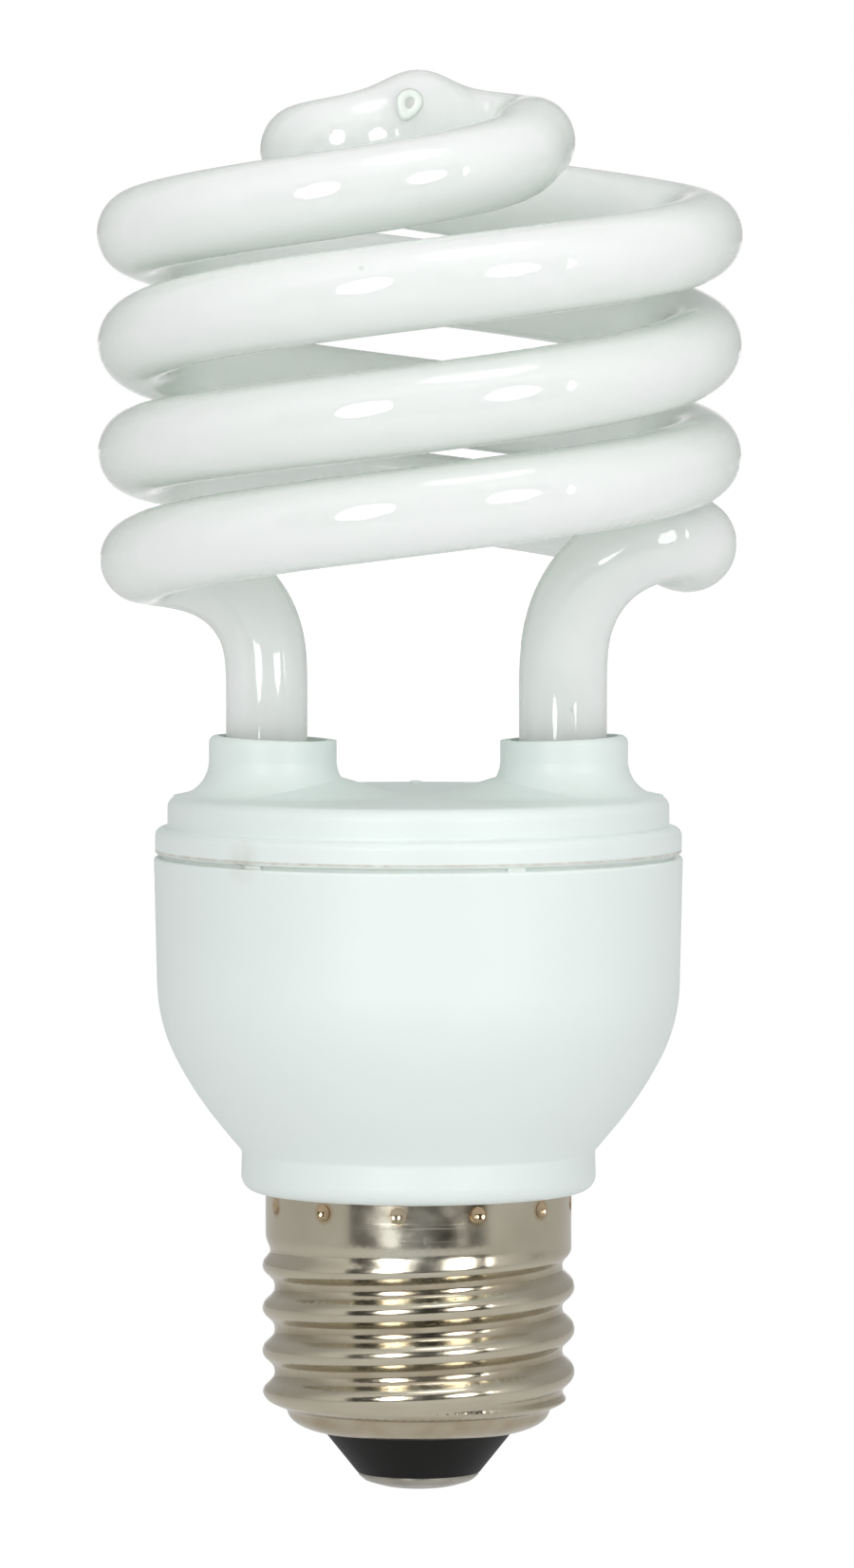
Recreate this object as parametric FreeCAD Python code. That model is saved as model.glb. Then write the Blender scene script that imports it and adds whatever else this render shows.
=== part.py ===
import FreeCAD, Part
import math
import os
from FreeCAD import Vector

# Spiral energy saving bulb with a standard 27 mm screw cap. Millimetres, +Z up the bulb's axis,
# origin at the tip of the centre contact. +X is to the right and -Y faces the viewer.

os.makedirs("parts", exist_ok=True)

# Screw shell: rolled sheet with a 7 turns per inch round thread
THREAD_PITCH = 3.629
THREAD_DEPTH = 1.02
CREST_RADIUS = 13.22
ROOT_RADIUS = CREST_RADIUS - THREAD_DEPTH
SHELL_NECK_RADIUS = CREST_RADIUS - 0.26
SHELL_WALL = 0.3
SHELL_TOP_GAP = 0.05
SHELL_MOUTH_RADIUS = CREST_RADIUS - 5.02
SHELL_MOUTH_Z = 4.98
THREAD_BOTTOM_Z = SHELL_MOUTH_Z + 2.45
THREAD_FADE = 0.8
THREAD_LENGTH = 13.25
THREAD_TOP_Z = THREAD_BOTTOM_Z + THREAD_LENGTH
THREAD_RUN_OUT = 1.7
CREST_Z_AT_RIGHT = THREAD_BOTTOM_Z + 6.06
NECK_HEIGHT = 4.6
# Shoulder from the thread's foot in to the mouth: inset from the crest, height above the mouth
SHOULDER_POINTS = ((1.3, 2.1), (1.95, 1.85), (2.12, 1.5), (2.22, 1.1), (2.68, 0.65), (3.4, 0.27),
                   (4.1, 0.05), (4.5, 0), (CREST_RADIUS - SHELL_MOUTH_RADIUS, 0))
SHELL_COLUMNS = 48
ROWS_PER_TURN = 12
DIMPLE_BALL = 1.0
DIMPLE_DEPTH = 0.3
DIMPLE_COUNT = 12
DIMPLE_START = -97.6
NECK_CLEARANCE = 0.1

# Cap insulator and centre contact
INSULATOR_FOOT_RADIUS = SHELL_MOUTH_RADIUS - 3.0
INSULATOR_FLANGE_RADIUS = SHELL_MOUTH_RADIUS + 0.5
INSULATOR_TOP_Z = SHELL_MOUTH_Z + 2.6
INSULATOR_HUB_RADIUS = 3.0
INSULATOR_HUB_HEIGHT = 1.4
CONTACT_RADIUS = INSULATOR_FOOT_RADIUS - 0.1
CONTACT_HEIGHT = 1.3
CONTACT_ROUND = 6.0

# Ballast housing: bowl, skirt and the neck inside the screw shell
SKIRT_FOOT_Z = THREAD_TOP_Z + NECK_HEIGHT
SKIRT_TOP_Z = SKIRT_FOOT_Z + 3.4
SKIRT_TOP_RADIUS = SHELL_NECK_RADIUS + 1.99
SKIRT_RADIUS = SHELL_NECK_RADIUS + 2.09
SKIRT_CORNER = 1.35
DIMPLE_Z = SKIRT_FOOT_Z - 0.95
BOWL_RADIUS = 22.35
BOWL_LOWER_RADIUS = BOWL_RADIUS - 0.32
BOWL_WAIST_OUT = 0.55
BOWL_WAIST_RADIUS = SKIRT_TOP_RADIUS + (BOWL_LOWER_RADIUS - SKIRT_TOP_RADIUS) * BOWL_WAIST_OUT
BOWL_WAIST_Z = SKIRT_TOP_Z + 4.67
BOWL_SHOULDER_Z = BOWL_WAIST_Z + 6.12
HOUSING_WALL = 1.4
NECK_WALL = 1.3
NECK_FOOT_Z = INSULATOR_TOP_Z + 3.2
SEAM_Z = BOWL_SHOULDER_Z + BOWL_RADIUS - 8.24
SEAM_GAP = 0.3
SEAM_DEPTH = 0.5

# Tube holder: stepped cover with two collars
RIM_RADIUS = BOWL_RADIUS - 0.1
RIM_CORNER = 0.7
DRUM_STEP_Z = SEAM_Z + 2.5
DRUM_RADIUS = RIM_RADIUS - 1.05
DRUM_CORNER = 1.0
DRUM_FOOT_ROUND = 0.3
PLATE_Z = DRUM_STEP_Z + 2.65
PLATE_THICKNESS = 1.8
COLLAR_EDGE = 8.9
COLLAR_X = DRUM_RADIUS - COLLAR_EDGE
COLLAR_BORE_RADIUS = 4.6
COLLAR_WALL = 0.8
COLLAR_RADIUS = COLLAR_BORE_RADIUS + COLLAR_WALL
COLLAR_TOP_Z = PLATE_Z + 5.1
COLLAR_FILLET = 3.0
COLLAR_CORNER = 0.65
FLARE_HEIGHT = 2.7
FLARE_REACH = 1.3
COLLAR_SLOPE = 2.5
SOCKET_FOOT_Z = SEAM_Z - 0.2
SOCKET_WALL = 0.9
SPIGOT_WALL = 1.3
SPIGOT_FOOT_Z = SEAM_Z - 8.6
CEMENT_TOP_Z = COLLAR_TOP_Z - 1.85
CEMENT_FOOT_Z = SOCKET_FOOT_Z + 2.2
SPIGOT_CLEARANCE = 0.1
SEAM_TAB_COUNT = 6
SEAM_TAB_WIDTH = 1.6
SEAM_TAB_START = -128.4

# Spiral glass tube
TUBE_RADIUS = 3.68
LEFT_LEG_RADIUS = COLLAR_BORE_RADIUS - 1.14
RIGHT_LEG_RADIUS = COLLAR_BORE_RADIUS - 0.86
COIL_RADIUS = 23.5
COIL_TURN_HEIGHT = 18.5
COIL_LEAN = 0.021
COIL_OFFSET = 0.1
LEFT_LEG_X = COLLAR_X + 0.6
RIGHT_LEG_X = COLLAR_X - 0.2
LEG_FOOT_Z = SEAM_Z - 2.8
LEG_TOP_Z = COLLAR_TOP_Z + 5.55
LEFT_BEND_TOP_Z = LEG_TOP_Z + 8.9
RIGHT_BEND_TOP_Z = LEG_TOP_Z + 11.4
COIL_MIDDLE_Z = LEG_TOP_Z + 27.45
CROWN_Z = COIL_MIDDLE_Z + 17.05
LEFT_CROWN_RADIUS = 9.85
RIGHT_CROWN_RADIUS = 9.5
CROWN_SHRINK_START = 545
CROWN_SHRINK_END = 692
CROWN_ENTRY_OUT = 0.6
CROWN_ENTRY_DROP = 0.3
RIGHT_CROWN_SINK = -0.35
LEFT_CROWN_SINK = 0.35
CROWN_CLIMB_ANGLE = 163
TIP_X = -0.2
TIP_HEIGHT = 2.55
TIP_SPREAD = 5.2
PINCH_LENGTH = 4.0
PINCH_HALF_THICKNESS = 1.1
PINCH_SPREAD = 1.12
RIGHT_COIL_START = 14
LEFT_COIL_START = 8
COIL_LIFT = 0.05
COIL_STEPS = 36
CROWN_STEPS = 9
LEG_STEPS = 5
RING_SPACING = 2.4
RING_POINTS = 14
# Bend from a leg into the coil: share of the way out, side step, share of the climb
BEND_POINTS = ((0.02, -0.6, 0.27), (0.19, -1.9, 0.66), (0.5, -2.8, 0.91), (0.85, -2.0, 1.0))
# Bar over the crown: share of the crown's radius, side step, drop below its top
CROWN_POINTS = ((1.0, -2.2, 0.4), (0.99, 0.6, 0.3), (0.84, 3.3, 0.1), (0.53, 4.2, 0), (0.23, 2.5, 0))

# Circuit board inside the spigot
SPIGOT_INNER_RADIUS = BOWL_LOWER_RADIUS - HOUSING_WALL - SPIGOT_CLEARANCE - SPIGOT_WALL
BOARD_CLEARANCE = 0.2
BOARD_RADIUS = SPIGOT_INNER_RADIUS - BOARD_CLEARANCE
BOARD_TOP_Z = SEAM_Z - 5.6
BOARD_THICKNESS = 1.6
CLIP_COUNT = 4
CLIP_REACH = 0.9
CLIP_HEIGHT = 1.2
CLIP_WIDTH = 3.0
RIB_COUNT = 8
RIB_DEPTH = 1.2
RIB_WIDTH = 1.4
SEAT = 0.05
STAND_OFF = 0.6

# Leads, pins and their holes in the board
LEAD_RADIUS = 0.3
LEAD_STICKS_OUT = 1.0
HOLE_CLEARANCE = 0.1
PIN_WIDTH = 0.64
PIN_HEIGHT = 3.4
PIN_SIDE = 4.4
PIN_INBOARD = 2.6
ELECTRODE_SIDE = 1.5
ELECTRODE_RADIUS = 0.22
ELECTRODE_TURN_RADIUS = ELECTRODE_RADIUS + 0.02
ELECTRODE_BEND = 0.5
ELECTRODE_Z = LEG_FOOT_Z - 1.1

# Parts on the board, hanging towards the cap: centres and sizes for a board of 19.05 mm radius,
# in proportion on any other
ON_BOARD = BOARD_RADIUS / 19.05
CAN_X = 3.6 * ON_BOARD
CAN_RADIUS = 5.0 * ON_BOARD
CAN_LENGTH = 17.5 * ON_BOARD
CAN_PITCH = 5.0 * ON_BOARD
CHOKE_X = -9.1 * ON_BOARD
CORE_WIDTH = 16.0 * ON_BOARD
CORE_HEIGHT = 12.2 * ON_BOARD
CORE_THICKNESS = 4.8 * ON_BOARD
CORE_LEG = 4.2 * ON_BOARD
CORE_OUTER_LEG = 2.0 * ON_BOARD
CORE_BACK = 2.0 * ON_BOARD
BOBBIN_WALL = 0.7 * ON_BOARD
BOBBIN_SIZE = 11.4 * ON_BOARD
FLANGE_THICKNESS = 0.8 * ON_BOARD
BOBBIN_PIN_SIDE = 4.4 * ON_BOARD
TOROID_X = 3.4 * ON_BOARD
TOROID_Y = -12.6 * ON_BOARD
TOROID_RADIUS = 4.4 * ON_BOARD
TOROID_BORE_RADIUS = 2.4 * ON_BOARD
TOROID_HEIGHT = 3.4 * ON_BOARD
TOROID_DROP = 1.4 * ON_BOARD
TURN_WIRE_RADIUS = 0.22
TRANSISTOR_RADIUS = 15.0 * ON_BOARD
TRANSISTOR_ANGLE = 35
TRANSISTOR_WIDTH = 7.8 * ON_BOARD
TRANSISTOR_THICKNESS = 2.7 * ON_BOARD
TRANSISTOR_HEIGHT = 10.8
TRANSISTOR_PITCH = 2.28 * ON_BOARD
TRANSISTOR_LEAD = 1.6
TRANSISTOR_HOLE_RADIUS = 1.6 * ON_BOARD
TRANSISTOR_HOLE_HEIGHT = 3.6 * ON_BOARD
RESONANT_Y = 12.6 * ON_BOARD
RESONANT_WIDTH = 11.6 * ON_BOARD
RESONANT_DEPTH = 5.0 * ON_BOARD
RESONANT_HEIGHT = 9.5 * ON_BOARD
RESONANT_PITCH = 10.0 * ON_BOARD
COUPLING_X = 13.1 * ON_BOARD
COUPLING_WIDTH = 3.2 * ON_BOARD
COUPLING_DEPTH = 7.4 * ON_BOARD
COUPLING_HEIGHT = 7.0 * ON_BOARD
COUPLING_PITCH = 5.0 * ON_BOARD
FILM_CORNER = 0.9 * ON_BOARD
START_X = 2.0 * ON_BOARD
START_Y = 7.6 * ON_BOARD
START_RADIUS = 3.4 * ON_BOARD
START_THICKNESS = 2.2 * ON_BOARD
START_CORNER = 0.8 * ON_BOARD
START_PITCH = 5.0 * ON_BOARD
INDUCTOR_X = -9.3 * ON_BOARD
INDUCTOR_Y = 11.6 * ON_BOARD
INDUCTOR_RADIUS = 3.0 * ON_BOARD
INDUCTOR_HEIGHT = 8.0 * ON_BOARD
INDUCTOR_WAIST_RADIUS = 1.5 * ON_BOARD
INDUCTOR_FLANGE = 1.4 * ON_BOARD
INDUCTOR_PITCH = 5.0 * ON_BOARD
DIODE_Y = -11.2 * ON_BOARD
DIODE_X = -12.4 * ON_BOARD
DIODE_SPACING = 3.0 * ON_BOARD
DIODE_COUNT = 4
DIODE_RADIUS = 1.3 * ON_BOARD
DIODE_LENGTH = 5.0 * ON_BOARD
RESISTOR_RADIUS = 1.15 * ON_BOARD
RESISTOR_LENGTH = 6.0 * ON_BOARD
RESISTOR_PLACES = [(16.4 * ON_BOARD, 2.4 * ON_BOARD, 1), (16.4 * ON_BOARD, -2.4 * ON_BOARD, 1),
                   (7.9 * ON_BOARD, 13.4 * ON_BOARD, 1), (-4.4 * ON_BOARD, 8.7 * ON_BOARD, -1)]
TRIGGER_PLACE = (10.2 * ON_BOARD, 13.5 * ON_BOARD, 1)
TRIGGER_RADIUS = 0.9 * ON_BOARD
TRIGGER_LENGTH = 3.8 * ON_BOARD
HAIRPIN_DROP = 0.4
HAIRPIN_GAP = 0.25
HAIRPIN_LOOP = 1.6 * ON_BOARD
HAIRPIN_CAP = 1.5 * ON_BOARD
RESISTOR_WAIST = 0.2 * ON_BOARD
FUSE_RADIUS = 1.7
FUSE_FOOT_Z = NECK_FOOT_Z + 0.1
FUSE_LENGTH = 9.0
FUSE_LEAD_X = -2.4 * ON_BOARD
SLEEVE_WALL = 0.35
SHELL_LEAD_X = -2.2 * ON_BOARD
SHELL_LEAD_Y = -6.6 * ON_BOARD


def outline(corners):
    """Closed wire in the XZ plane. Each corner is (x, z, rounding radius)."""
    count = len(corners)
    turns = []
    for i, (x, z, radius) in enumerate(corners):
        here = Vector(x, 0, z)
        back = (Vector(corners[i - 1][0], 0, corners[i - 1][1]) - here).normalize()
        ahead = corners[(i + 1) % count]
        onward = (Vector(ahead[0], 0, ahead[1]) - here).normalize()
        half = back.getAngle(onward) / 2
        reach = radius / math.tan(half)
        inward = (back + onward).normalize() if radius else Vector()
        middle = here + inward * (radius / math.sin(half) - radius)
        turns.append((here + back * reach, middle, here + onward * reach, radius))
    edges = []
    for i, (start, middle, end, radius) in enumerate(turns):
        if radius:
            edges.append(Part.Arc(start, middle, end).toShape())
        following = turns[(i + 1) % count][0]
        if end.distanceToPoint(following) > 1e-6:
            edges.append(Part.LineSegment(end, following).toShape())
    return Part.Wire(edges)


def turned(corners, x=0, y=0):
    """Solid of revolution about the vertical line through (x, y)."""
    solid = Part.Face(outline(corners)).revolve(Vector(), Vector(0, 0, 1), 360)
    solid.translate(Vector(x, y, 0))
    return solid


def rod(radius, bottom, top, x=0, y=0):
    return Part.makeCylinder(radius, top - bottom, Vector(x, y, bottom))


def block(x, y, bottom, width, depth, height, angle=0):
    """Upright box centred on (x, y), turned by angle about its own centre."""
    box = Part.makeBox(width, depth, height, Vector(-width / 2, -depth / 2, 0))
    box.rotate(Vector(), Vector(0, 0, 1), angle)
    box.translate(Vector(x, y, bottom))
    return box


def around(shape, count, start=0):
    """Copies of a shape evenly turned about the bulb's axis."""
    copies = []
    for i in range(count):
        copy = shape.copy()
        copy.rotate(Vector(), Vector(0, 0, 1), start + 360 * i / count)
        copies.append(copy)
    return copies


def wire_lead(points, radius, bend):
    """Round wire along straight runs joined by tangent arcs."""
    edges = []
    last = points[0]
    for before, here, after in zip(points, points[1:], points[2:]):
        back = (before - here).normalize()
        onward = (after - here).normalize()
        half = back.getAngle(onward) / 2
        reach = bend / math.tan(half)
        middle = here + (back + onward).normalize() * (bend / math.sin(half) - bend)
        edges.append(Part.LineSegment(last, here + back * reach).toShape())
        edges.append(Part.Arc(here + back * reach, middle, here + onward * reach).toShape())
        last = here + onward * reach
    edges.append(Part.LineSegment(last, points[-1]).toShape())
    path = Part.Wire(edges)
    section = Part.Wire(Part.Circle(points[0], points[1] - points[0], radius).toShape())
    return path.makePipeShell([section], True, False)


def pole_gain(count):
    """How far outside a circle the control points of a smooth closed ring lie."""
    return 3 / (2 + math.cos(2 * math.pi / count))


def smooth_skin(rings):
    """Smooth face over rings of control points, closed round each ring."""
    rows, columns = len(rings), len(rings[0])
    row_knots = list(range(rows - 2))
    row_counts = [4] + [1] * (rows - 4) + [4]
    surface = Part.BSplineSurface()
    surface.buildFromPolesMultsKnots(rings, row_counts, [1] * (columns + 1), row_knots,
                                     list(range(columns + 1)), False, True, 3, 3)
    return surface.toShape()


def strand(leg_x, bend_top_z, first_angle, middle_z, crown_radius, sink):
    """Centreline of one half of the tube, from its foot up to the crown."""
    rise = COIL_TURN_HEIGHT / 360
    leg_step = (LEG_TOP_Z - LEG_FOOT_Z) / LEG_STEPS
    points = [Vector(leg_x, 0, LEG_FOOT_Z + leg_step * i) for i in range(LEG_STEPS + 1)]
    for reach, side, height in BEND_POINTS:
        points.append(Vector(leg_x + (COIL_RADIUS - leg_x) * reach, side,
                             LEG_TOP_Z + (bend_top_z - LEG_TOP_Z) * height))
    for i in range(COIL_STEPS + 1):
        angle = first_angle + (CROWN_SHRINK_START - first_angle) * i / COIL_STEPS
        points.append(ring_point(COIL_RADIUS, angle, middle_z + rise * (angle - 360)))
    climb_start = middle_z + rise * 180
    climb = CROWN_Z - CROWN_ENTRY_DROP - sink - climb_start
    for i in range(1, CROWN_STEPS + 1):
        share = i / CROWN_STEPS
        angle = CROWN_SHRINK_START + (CROWN_SHRINK_END - CROWN_SHRINK_START) * share
        radius = COIL_RADIUS + (crown_radius + CROWN_ENTRY_OUT - COIL_RADIUS) * share
        height = climb_start + climb * min(1, (angle - 540) / CROWN_CLIMB_ANGLE)
        points.append(ring_point(radius, angle, height, 0))
    for reach, side, drop in CROWN_POINTS:
        points.append(Vector(crown_radius * reach, side, CROWN_Z - drop - sink * reach))
    return points


def ring_point(radius, angle, z, lean=COIL_LEAN):
    x = radius * math.cos(math.radians(angle))
    y = radius * math.sin(math.radians(angle))
    return Vector(x, y, z + lean * y)


def tube_centreline():
    """Both strands joined over the crown; the left strand is the right one turned half round."""
    right = strand(RIGHT_LEG_X, RIGHT_BEND_TOP_Z, RIGHT_COIL_START, COIL_MIDDLE_Z + COIL_LIFT,
                   RIGHT_CROWN_RADIUS, RIGHT_CROWN_SINK)
    left = strand(LEFT_LEG_X, LEFT_BEND_TOP_Z, LEFT_COIL_START, COIL_MIDDLE_Z - COIL_LIFT,
                  LEFT_CROWN_RADIUS, LEFT_CROWN_SINK)
    left = [Vector(-p.x, -p.y, p.z) for p in left]
    points = right + [Vector(0, 0, CROWN_Z)] + left[::-1]
    curve = Part.BSplineCurve()
    curve.interpolate(points)
    edge = curve.toShape()
    path = edge.discretize(Number=round(edge.Length / RING_SPACING))
    return [p + Vector(COIL_OFFSET, 0, 0) for p in path]


def tube_section(p):
    """Half-width and half-thickness of the tube at one point of its path."""
    leg_radius = RIGHT_LEG_RADIUS if p.x > 0 else LEFT_LEG_RADIUS
    share = min(1, max(0, (p.z - LEG_TOP_Z) / (LEFT_BEND_TOP_Z - LEG_TOP_Z)))
    radius = leg_radius + (TUBE_RADIUS - leg_radius) * share
    pinch = min(1, max(0, 1 - (p.z - LEG_FOOT_Z) / PINCH_LENGTH))
    pinch = pinch * pinch * (3 - 2 * pinch)
    return (radius * (1 + (PINCH_SPREAD - 1) * pinch),
            radius + (PINCH_HALF_THICKNESS - radius) * pinch)


def closed_solid(faces):
    """Solid bounded by faces that already share their edges."""
    solid = Part.Solid(Part.Shell(faces))
    solid.fix(1e-6, 1e-6, 1e-4)
    return solid


def make_spiral_tube():
    """Glass tube with pinched feet and the sealed tip on its crown."""
    path = tube_centreline()
    gain = pole_gain(RING_POINTS)
    across = Vector(0, 1, 0)
    rings = []
    for i, here in enumerate(path):
        along = (path[min(i + 1, len(path) - 1)] - path[max(i - 1, 0)]).normalize()
        across = (across - along * across.dot(along)).normalize()
        other = along.cross(across)
        wide, thick = tube_section(here)
        ring = []
        for k in range(RING_POINTS):
            angle = 2 * math.pi * k / RING_POINTS
            outward = across * math.cos(angle) * wide + other * math.sin(angle) * thick
            place = here + outward * gain
            if here.z > CROWN_Z - 1:
                away = math.hypot(here.x - TIP_X, here.y)
                up = max(0, outward.z / TUBE_RADIUS)
                place.z += TIP_HEIGHT * up * math.exp(-(away / TIP_SPREAD) ** 2)
            ring.append(place)
        rings.append(ring)
    skin = smooth_skin(rings)
    caps = [Part.Face(Part.Wire(edge)) for edge in skin.Edges if edge.isClosed()]
    return closed_solid([skin] + caps)


def collar():
    """Collar above the plate and socket sleeve below it, without the bore."""
    sleeve_radius = COLLAR_BORE_RADIUS + SOCKET_WALL
    root_radius = COLLAR_RADIUS + COLLAR_FILLET
    inside_z = PLATE_Z - PLATE_THICKNESS / 2
    return turned([(0, SOCKET_FOOT_Z, 0),
                   (sleeve_radius, SOCKET_FOOT_Z, 0),
                   (sleeve_radius, inside_z, 0),
                   (root_radius, inside_z, 0),
                   (root_radius, PLATE_Z, 0),
                   (COLLAR_RADIUS, PLATE_Z, COLLAR_FILLET - SEAT),
                   (COLLAR_RADIUS, COLLAR_TOP_Z, COLLAR_CORNER),
                   (0, COLLAR_TOP_Z, 0)])


def collar_flare():
    """Shallow cone round a collar, from near the axis out to the drum's rounded edge."""
    middle = (DRUM_RADIUS - DRUM_CORNER) / 2
    radius = middle - 2 * SEAT
    slope = math.atan(FLARE_HEIGHT / (radius - FLARE_REACH))
    inside_z = PLATE_Z - PLATE_THICKNESS / 2
    return turned([(0, inside_z, 0),
                   (radius, inside_z, 0),
                   (radius, PLATE_Z - SEAT, 0),
                   (radius - FLARE_REACH, PLATE_Z - SEAT, 0.95 * FLARE_REACH / math.tan(slope / 2)),
                   (0, PLATE_Z - SEAT + FLARE_HEIGHT, 0)], middle)


def make_tube_holder():
    """Stepped cover with a collar round each leg, a spigot, and ribs and clips for the board."""
    inner_radius = SPIGOT_INNER_RADIUS
    spigot_radius = SPIGOT_INNER_RADIUS + SPIGOT_WALL
    rim_foot = SEAM_Z + SEAM_GAP
    cover = turned([(0, PLATE_Z - PLATE_THICKNESS, 0),
                    (inner_radius, PLATE_Z - PLATE_THICKNESS, 0.5),
                    (inner_radius, SPIGOT_FOOT_Z, 0),
                    (spigot_radius, SPIGOT_FOOT_Z, 0.4),
                    (spigot_radius, SEAM_Z, 0),
                    (RIM_RADIUS - SEAM_DEPTH, SEAM_Z, 0),
                    (RIM_RADIUS - SEAM_DEPTH, rim_foot, 0),
                    (RIM_RADIUS, rim_foot, 0.2),
                    (RIM_RADIUS, DRUM_STEP_Z, RIM_CORNER),
                    (DRUM_RADIUS, DRUM_STEP_Z, DRUM_FOOT_ROUND),
                    (DRUM_RADIUS, PLATE_Z, DRUM_CORNER),
                    (0, PLATE_Z, 0)])
    pieces = [collar().translated(Vector(side * COLLAR_X, 0, 0)) for side in (-1, 1)]
    pieces += around(collar_flare(), 2)
    rib_height = PLATE_Z - PLATE_THICKNESS / 2 - BOARD_TOP_Z
    rib = block(inner_radius, 0, BOARD_TOP_Z, 2 * RIB_DEPTH, RIB_WIDTH, rib_height)
    pieces += around(rib, RIB_COUNT, 180 / RIB_COUNT)
    clip_foot = BOARD_TOP_Z - BOARD_THICKNESS - CLIP_HEIGHT
    clip = block(BOARD_RADIUS, 0, clip_foot, 2 * CLIP_REACH, CLIP_WIDTH, CLIP_HEIGHT)
    pieces += around(clip, CLIP_COUNT, 45)
    tab = block(RIM_RADIUS - 0.8, 0, SEAM_Z, 1.2, SEAM_TAB_WIDTH, 2 * SEAM_GAP)
    pieces += around(tab, SEAM_TAB_COUNT, SEAM_TAB_START)
    bores = [rod(COLLAR_BORE_RADIUS, SOCKET_FOOT_Z - 1, COLLAR_TOP_Z + 1, side * COLLAR_X)
             for side in (-1, 1)]
    return cover.fuse(pieces).cut(bores + collar_slopes()).removeSplitter()


def collar_slopes():
    """Wedges that leave each collar's top a little higher on its outer side."""
    wedges = []
    for side in (-1, 1):
        wedge = block(0, 0, 0, 4 * COLLAR_RADIUS, 4 * COLLAR_RADIUS, 5)
        wedge.rotate(Vector(), Vector(0, 1, 0), -side * COLLAR_SLOPE)
        drop = COLLAR_RADIUS * math.sin(math.radians(COLLAR_SLOPE))
        wedge.translate(Vector(side * COLLAR_X, 0, COLLAR_TOP_Z - drop))
        wedges.append(wedge)
    return wedges


def bowl_corners(wall):
    """Shoulder and waist of the bowl's side, inset by a wall, with rounds that meet between them."""
    line = [Vector(BOWL_RADIUS, 0, SEAM_Z), Vector(BOWL_LOWER_RADIUS, 0, BOWL_SHOULDER_Z),
            Vector(BOWL_WAIST_RADIUS, 0, BOWL_WAIST_Z), Vector(SKIRT_TOP_RADIUS, 0, SKIRT_TOP_Z)]
    reach = 0.49 * line[1].distanceToPoint(line[2])
    corners = []
    for before, here, after in zip(line, line[1:], line[2:]):
        back = (before - here).normalize()
        onward = (after - here).normalize()
        half = back.getAngle(onward) / 2
        place = here + (back + onward).normalize() * (wall / math.sin(half))
        corners.append((place.x, place.z, reach * math.tan(half) - wall))
    return corners


def make_ballast_housing():
    """Bowl, skirt and neck moulded in one, open at the top and through the neck."""
    wall = HOUSING_WALL
    neck_radius = ROOT_RADIUS - SHELL_WALL - NECK_CLEARANCE
    plug_radius = SHELL_NECK_RADIUS - SHELL_WALL - NECK_CLEARANCE
    neck_inner = neck_radius - NECK_WALL
    inner_foot = SKIRT_FOOT_Z + wall
    skirt_inner = SKIRT_TOP_RADIUS - wall
    plug_foot = THREAD_TOP_Z + THREAD_RUN_OUT
    body = turned([(BOWL_RADIUS - wall, SEAM_Z, 0.2),
                   (BOWL_RADIUS, SEAM_Z, 0.3),
                   *bowl_corners(0),
                   (SKIRT_TOP_RADIUS, SKIRT_TOP_Z, 0.4),
                   (SKIRT_RADIUS, SKIRT_FOOT_Z, SKIRT_CORNER),
                   (plug_radius, SKIRT_FOOT_Z, 0),
                   (plug_radius, plug_foot, 0),
                   (neck_radius, plug_foot - 0.6, 0),
                   (neck_radius, NECK_FOOT_Z, 0.3),
                   (neck_inner, NECK_FOOT_Z, 0.3),
                   (neck_inner, inner_foot, 1.0),
                   (skirt_inner, inner_foot, 0.6),
                   (skirt_inner, SKIRT_TOP_Z + 0.45, 1.0),
                   *bowl_corners(wall)[::-1]])
    within = rod(SHELL_NECK_RADIUS, plug_foot, SKIRT_FOOT_Z)
    return body.cut([ball.common(within) for ball in dimple_balls(DIMPLE_BALL + SHELL_WALL + SEAT)])


def thread_wave(turn):
    """Alternating tangent arcs, +1 on a crest and -1 in a root, over one turn of pitch."""
    depth = CREST_RADIUS - ROOT_RADIUS
    arc = (THREAD_PITCH ** 2 / 4 + depth ** 2) / (4 * depth)
    along = (turn % 1) * THREAD_PITCH
    along = min(along, THREAD_PITCH - along)
    if along <= THREAD_PITCH / 4:
        fall = arc - math.sqrt(arc ** 2 - along ** 2)
    else:
        rest = THREAD_PITCH / 2 - along
        fall = depth - (arc - math.sqrt(arc ** 2 - rest ** 2))
    return 1 - 2 * fall / depth


def ease(value, low, high):
    """Smooth step from 0 at low to 1 at high."""
    share = min(1, max(0, (value - low) / (high - low)))
    return share * share * (3 - 2 * share)


def shell_meridian():
    """Points (radius, z, outward radius share, outward z share) from the shell's top to its mouth."""
    skirt_foot = SKIRT_FOOT_Z - SHELL_TOP_GAP
    steps = round((skirt_foot - THREAD_BOTTOM_Z) * ROWS_PER_TURN / THREAD_PITCH)
    mean = (CREST_RADIUS + ROOT_RADIUS) / 2
    points = []
    for i in range(steps + 1):
        z = skirt_foot - (skirt_foot - THREAD_BOTTOM_Z) * i / steps
        neck = ease(z, THREAD_TOP_Z - THREAD_RUN_OUT / 2, THREAD_TOP_Z + THREAD_RUN_OUT / 2)
        points.append((mean + (SHELL_NECK_RADIUS - mean) * neck, z, 1, 0))
    foot = [(CREST_RADIUS - inset, SHELL_MOUTH_Z + rise) for inset, rise in SHOULDER_POINTS]
    for i, (radius, z) in enumerate(foot):
        before = foot[max(i - 1, 0)]
        after = foot[min(i + 1, len(foot) - 1)]
        run = Vector(after[0] - before[0], 0, after[1] - before[1]).normalize()
        points.append((radius, z, -run.z, run.x))
    return points


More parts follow.
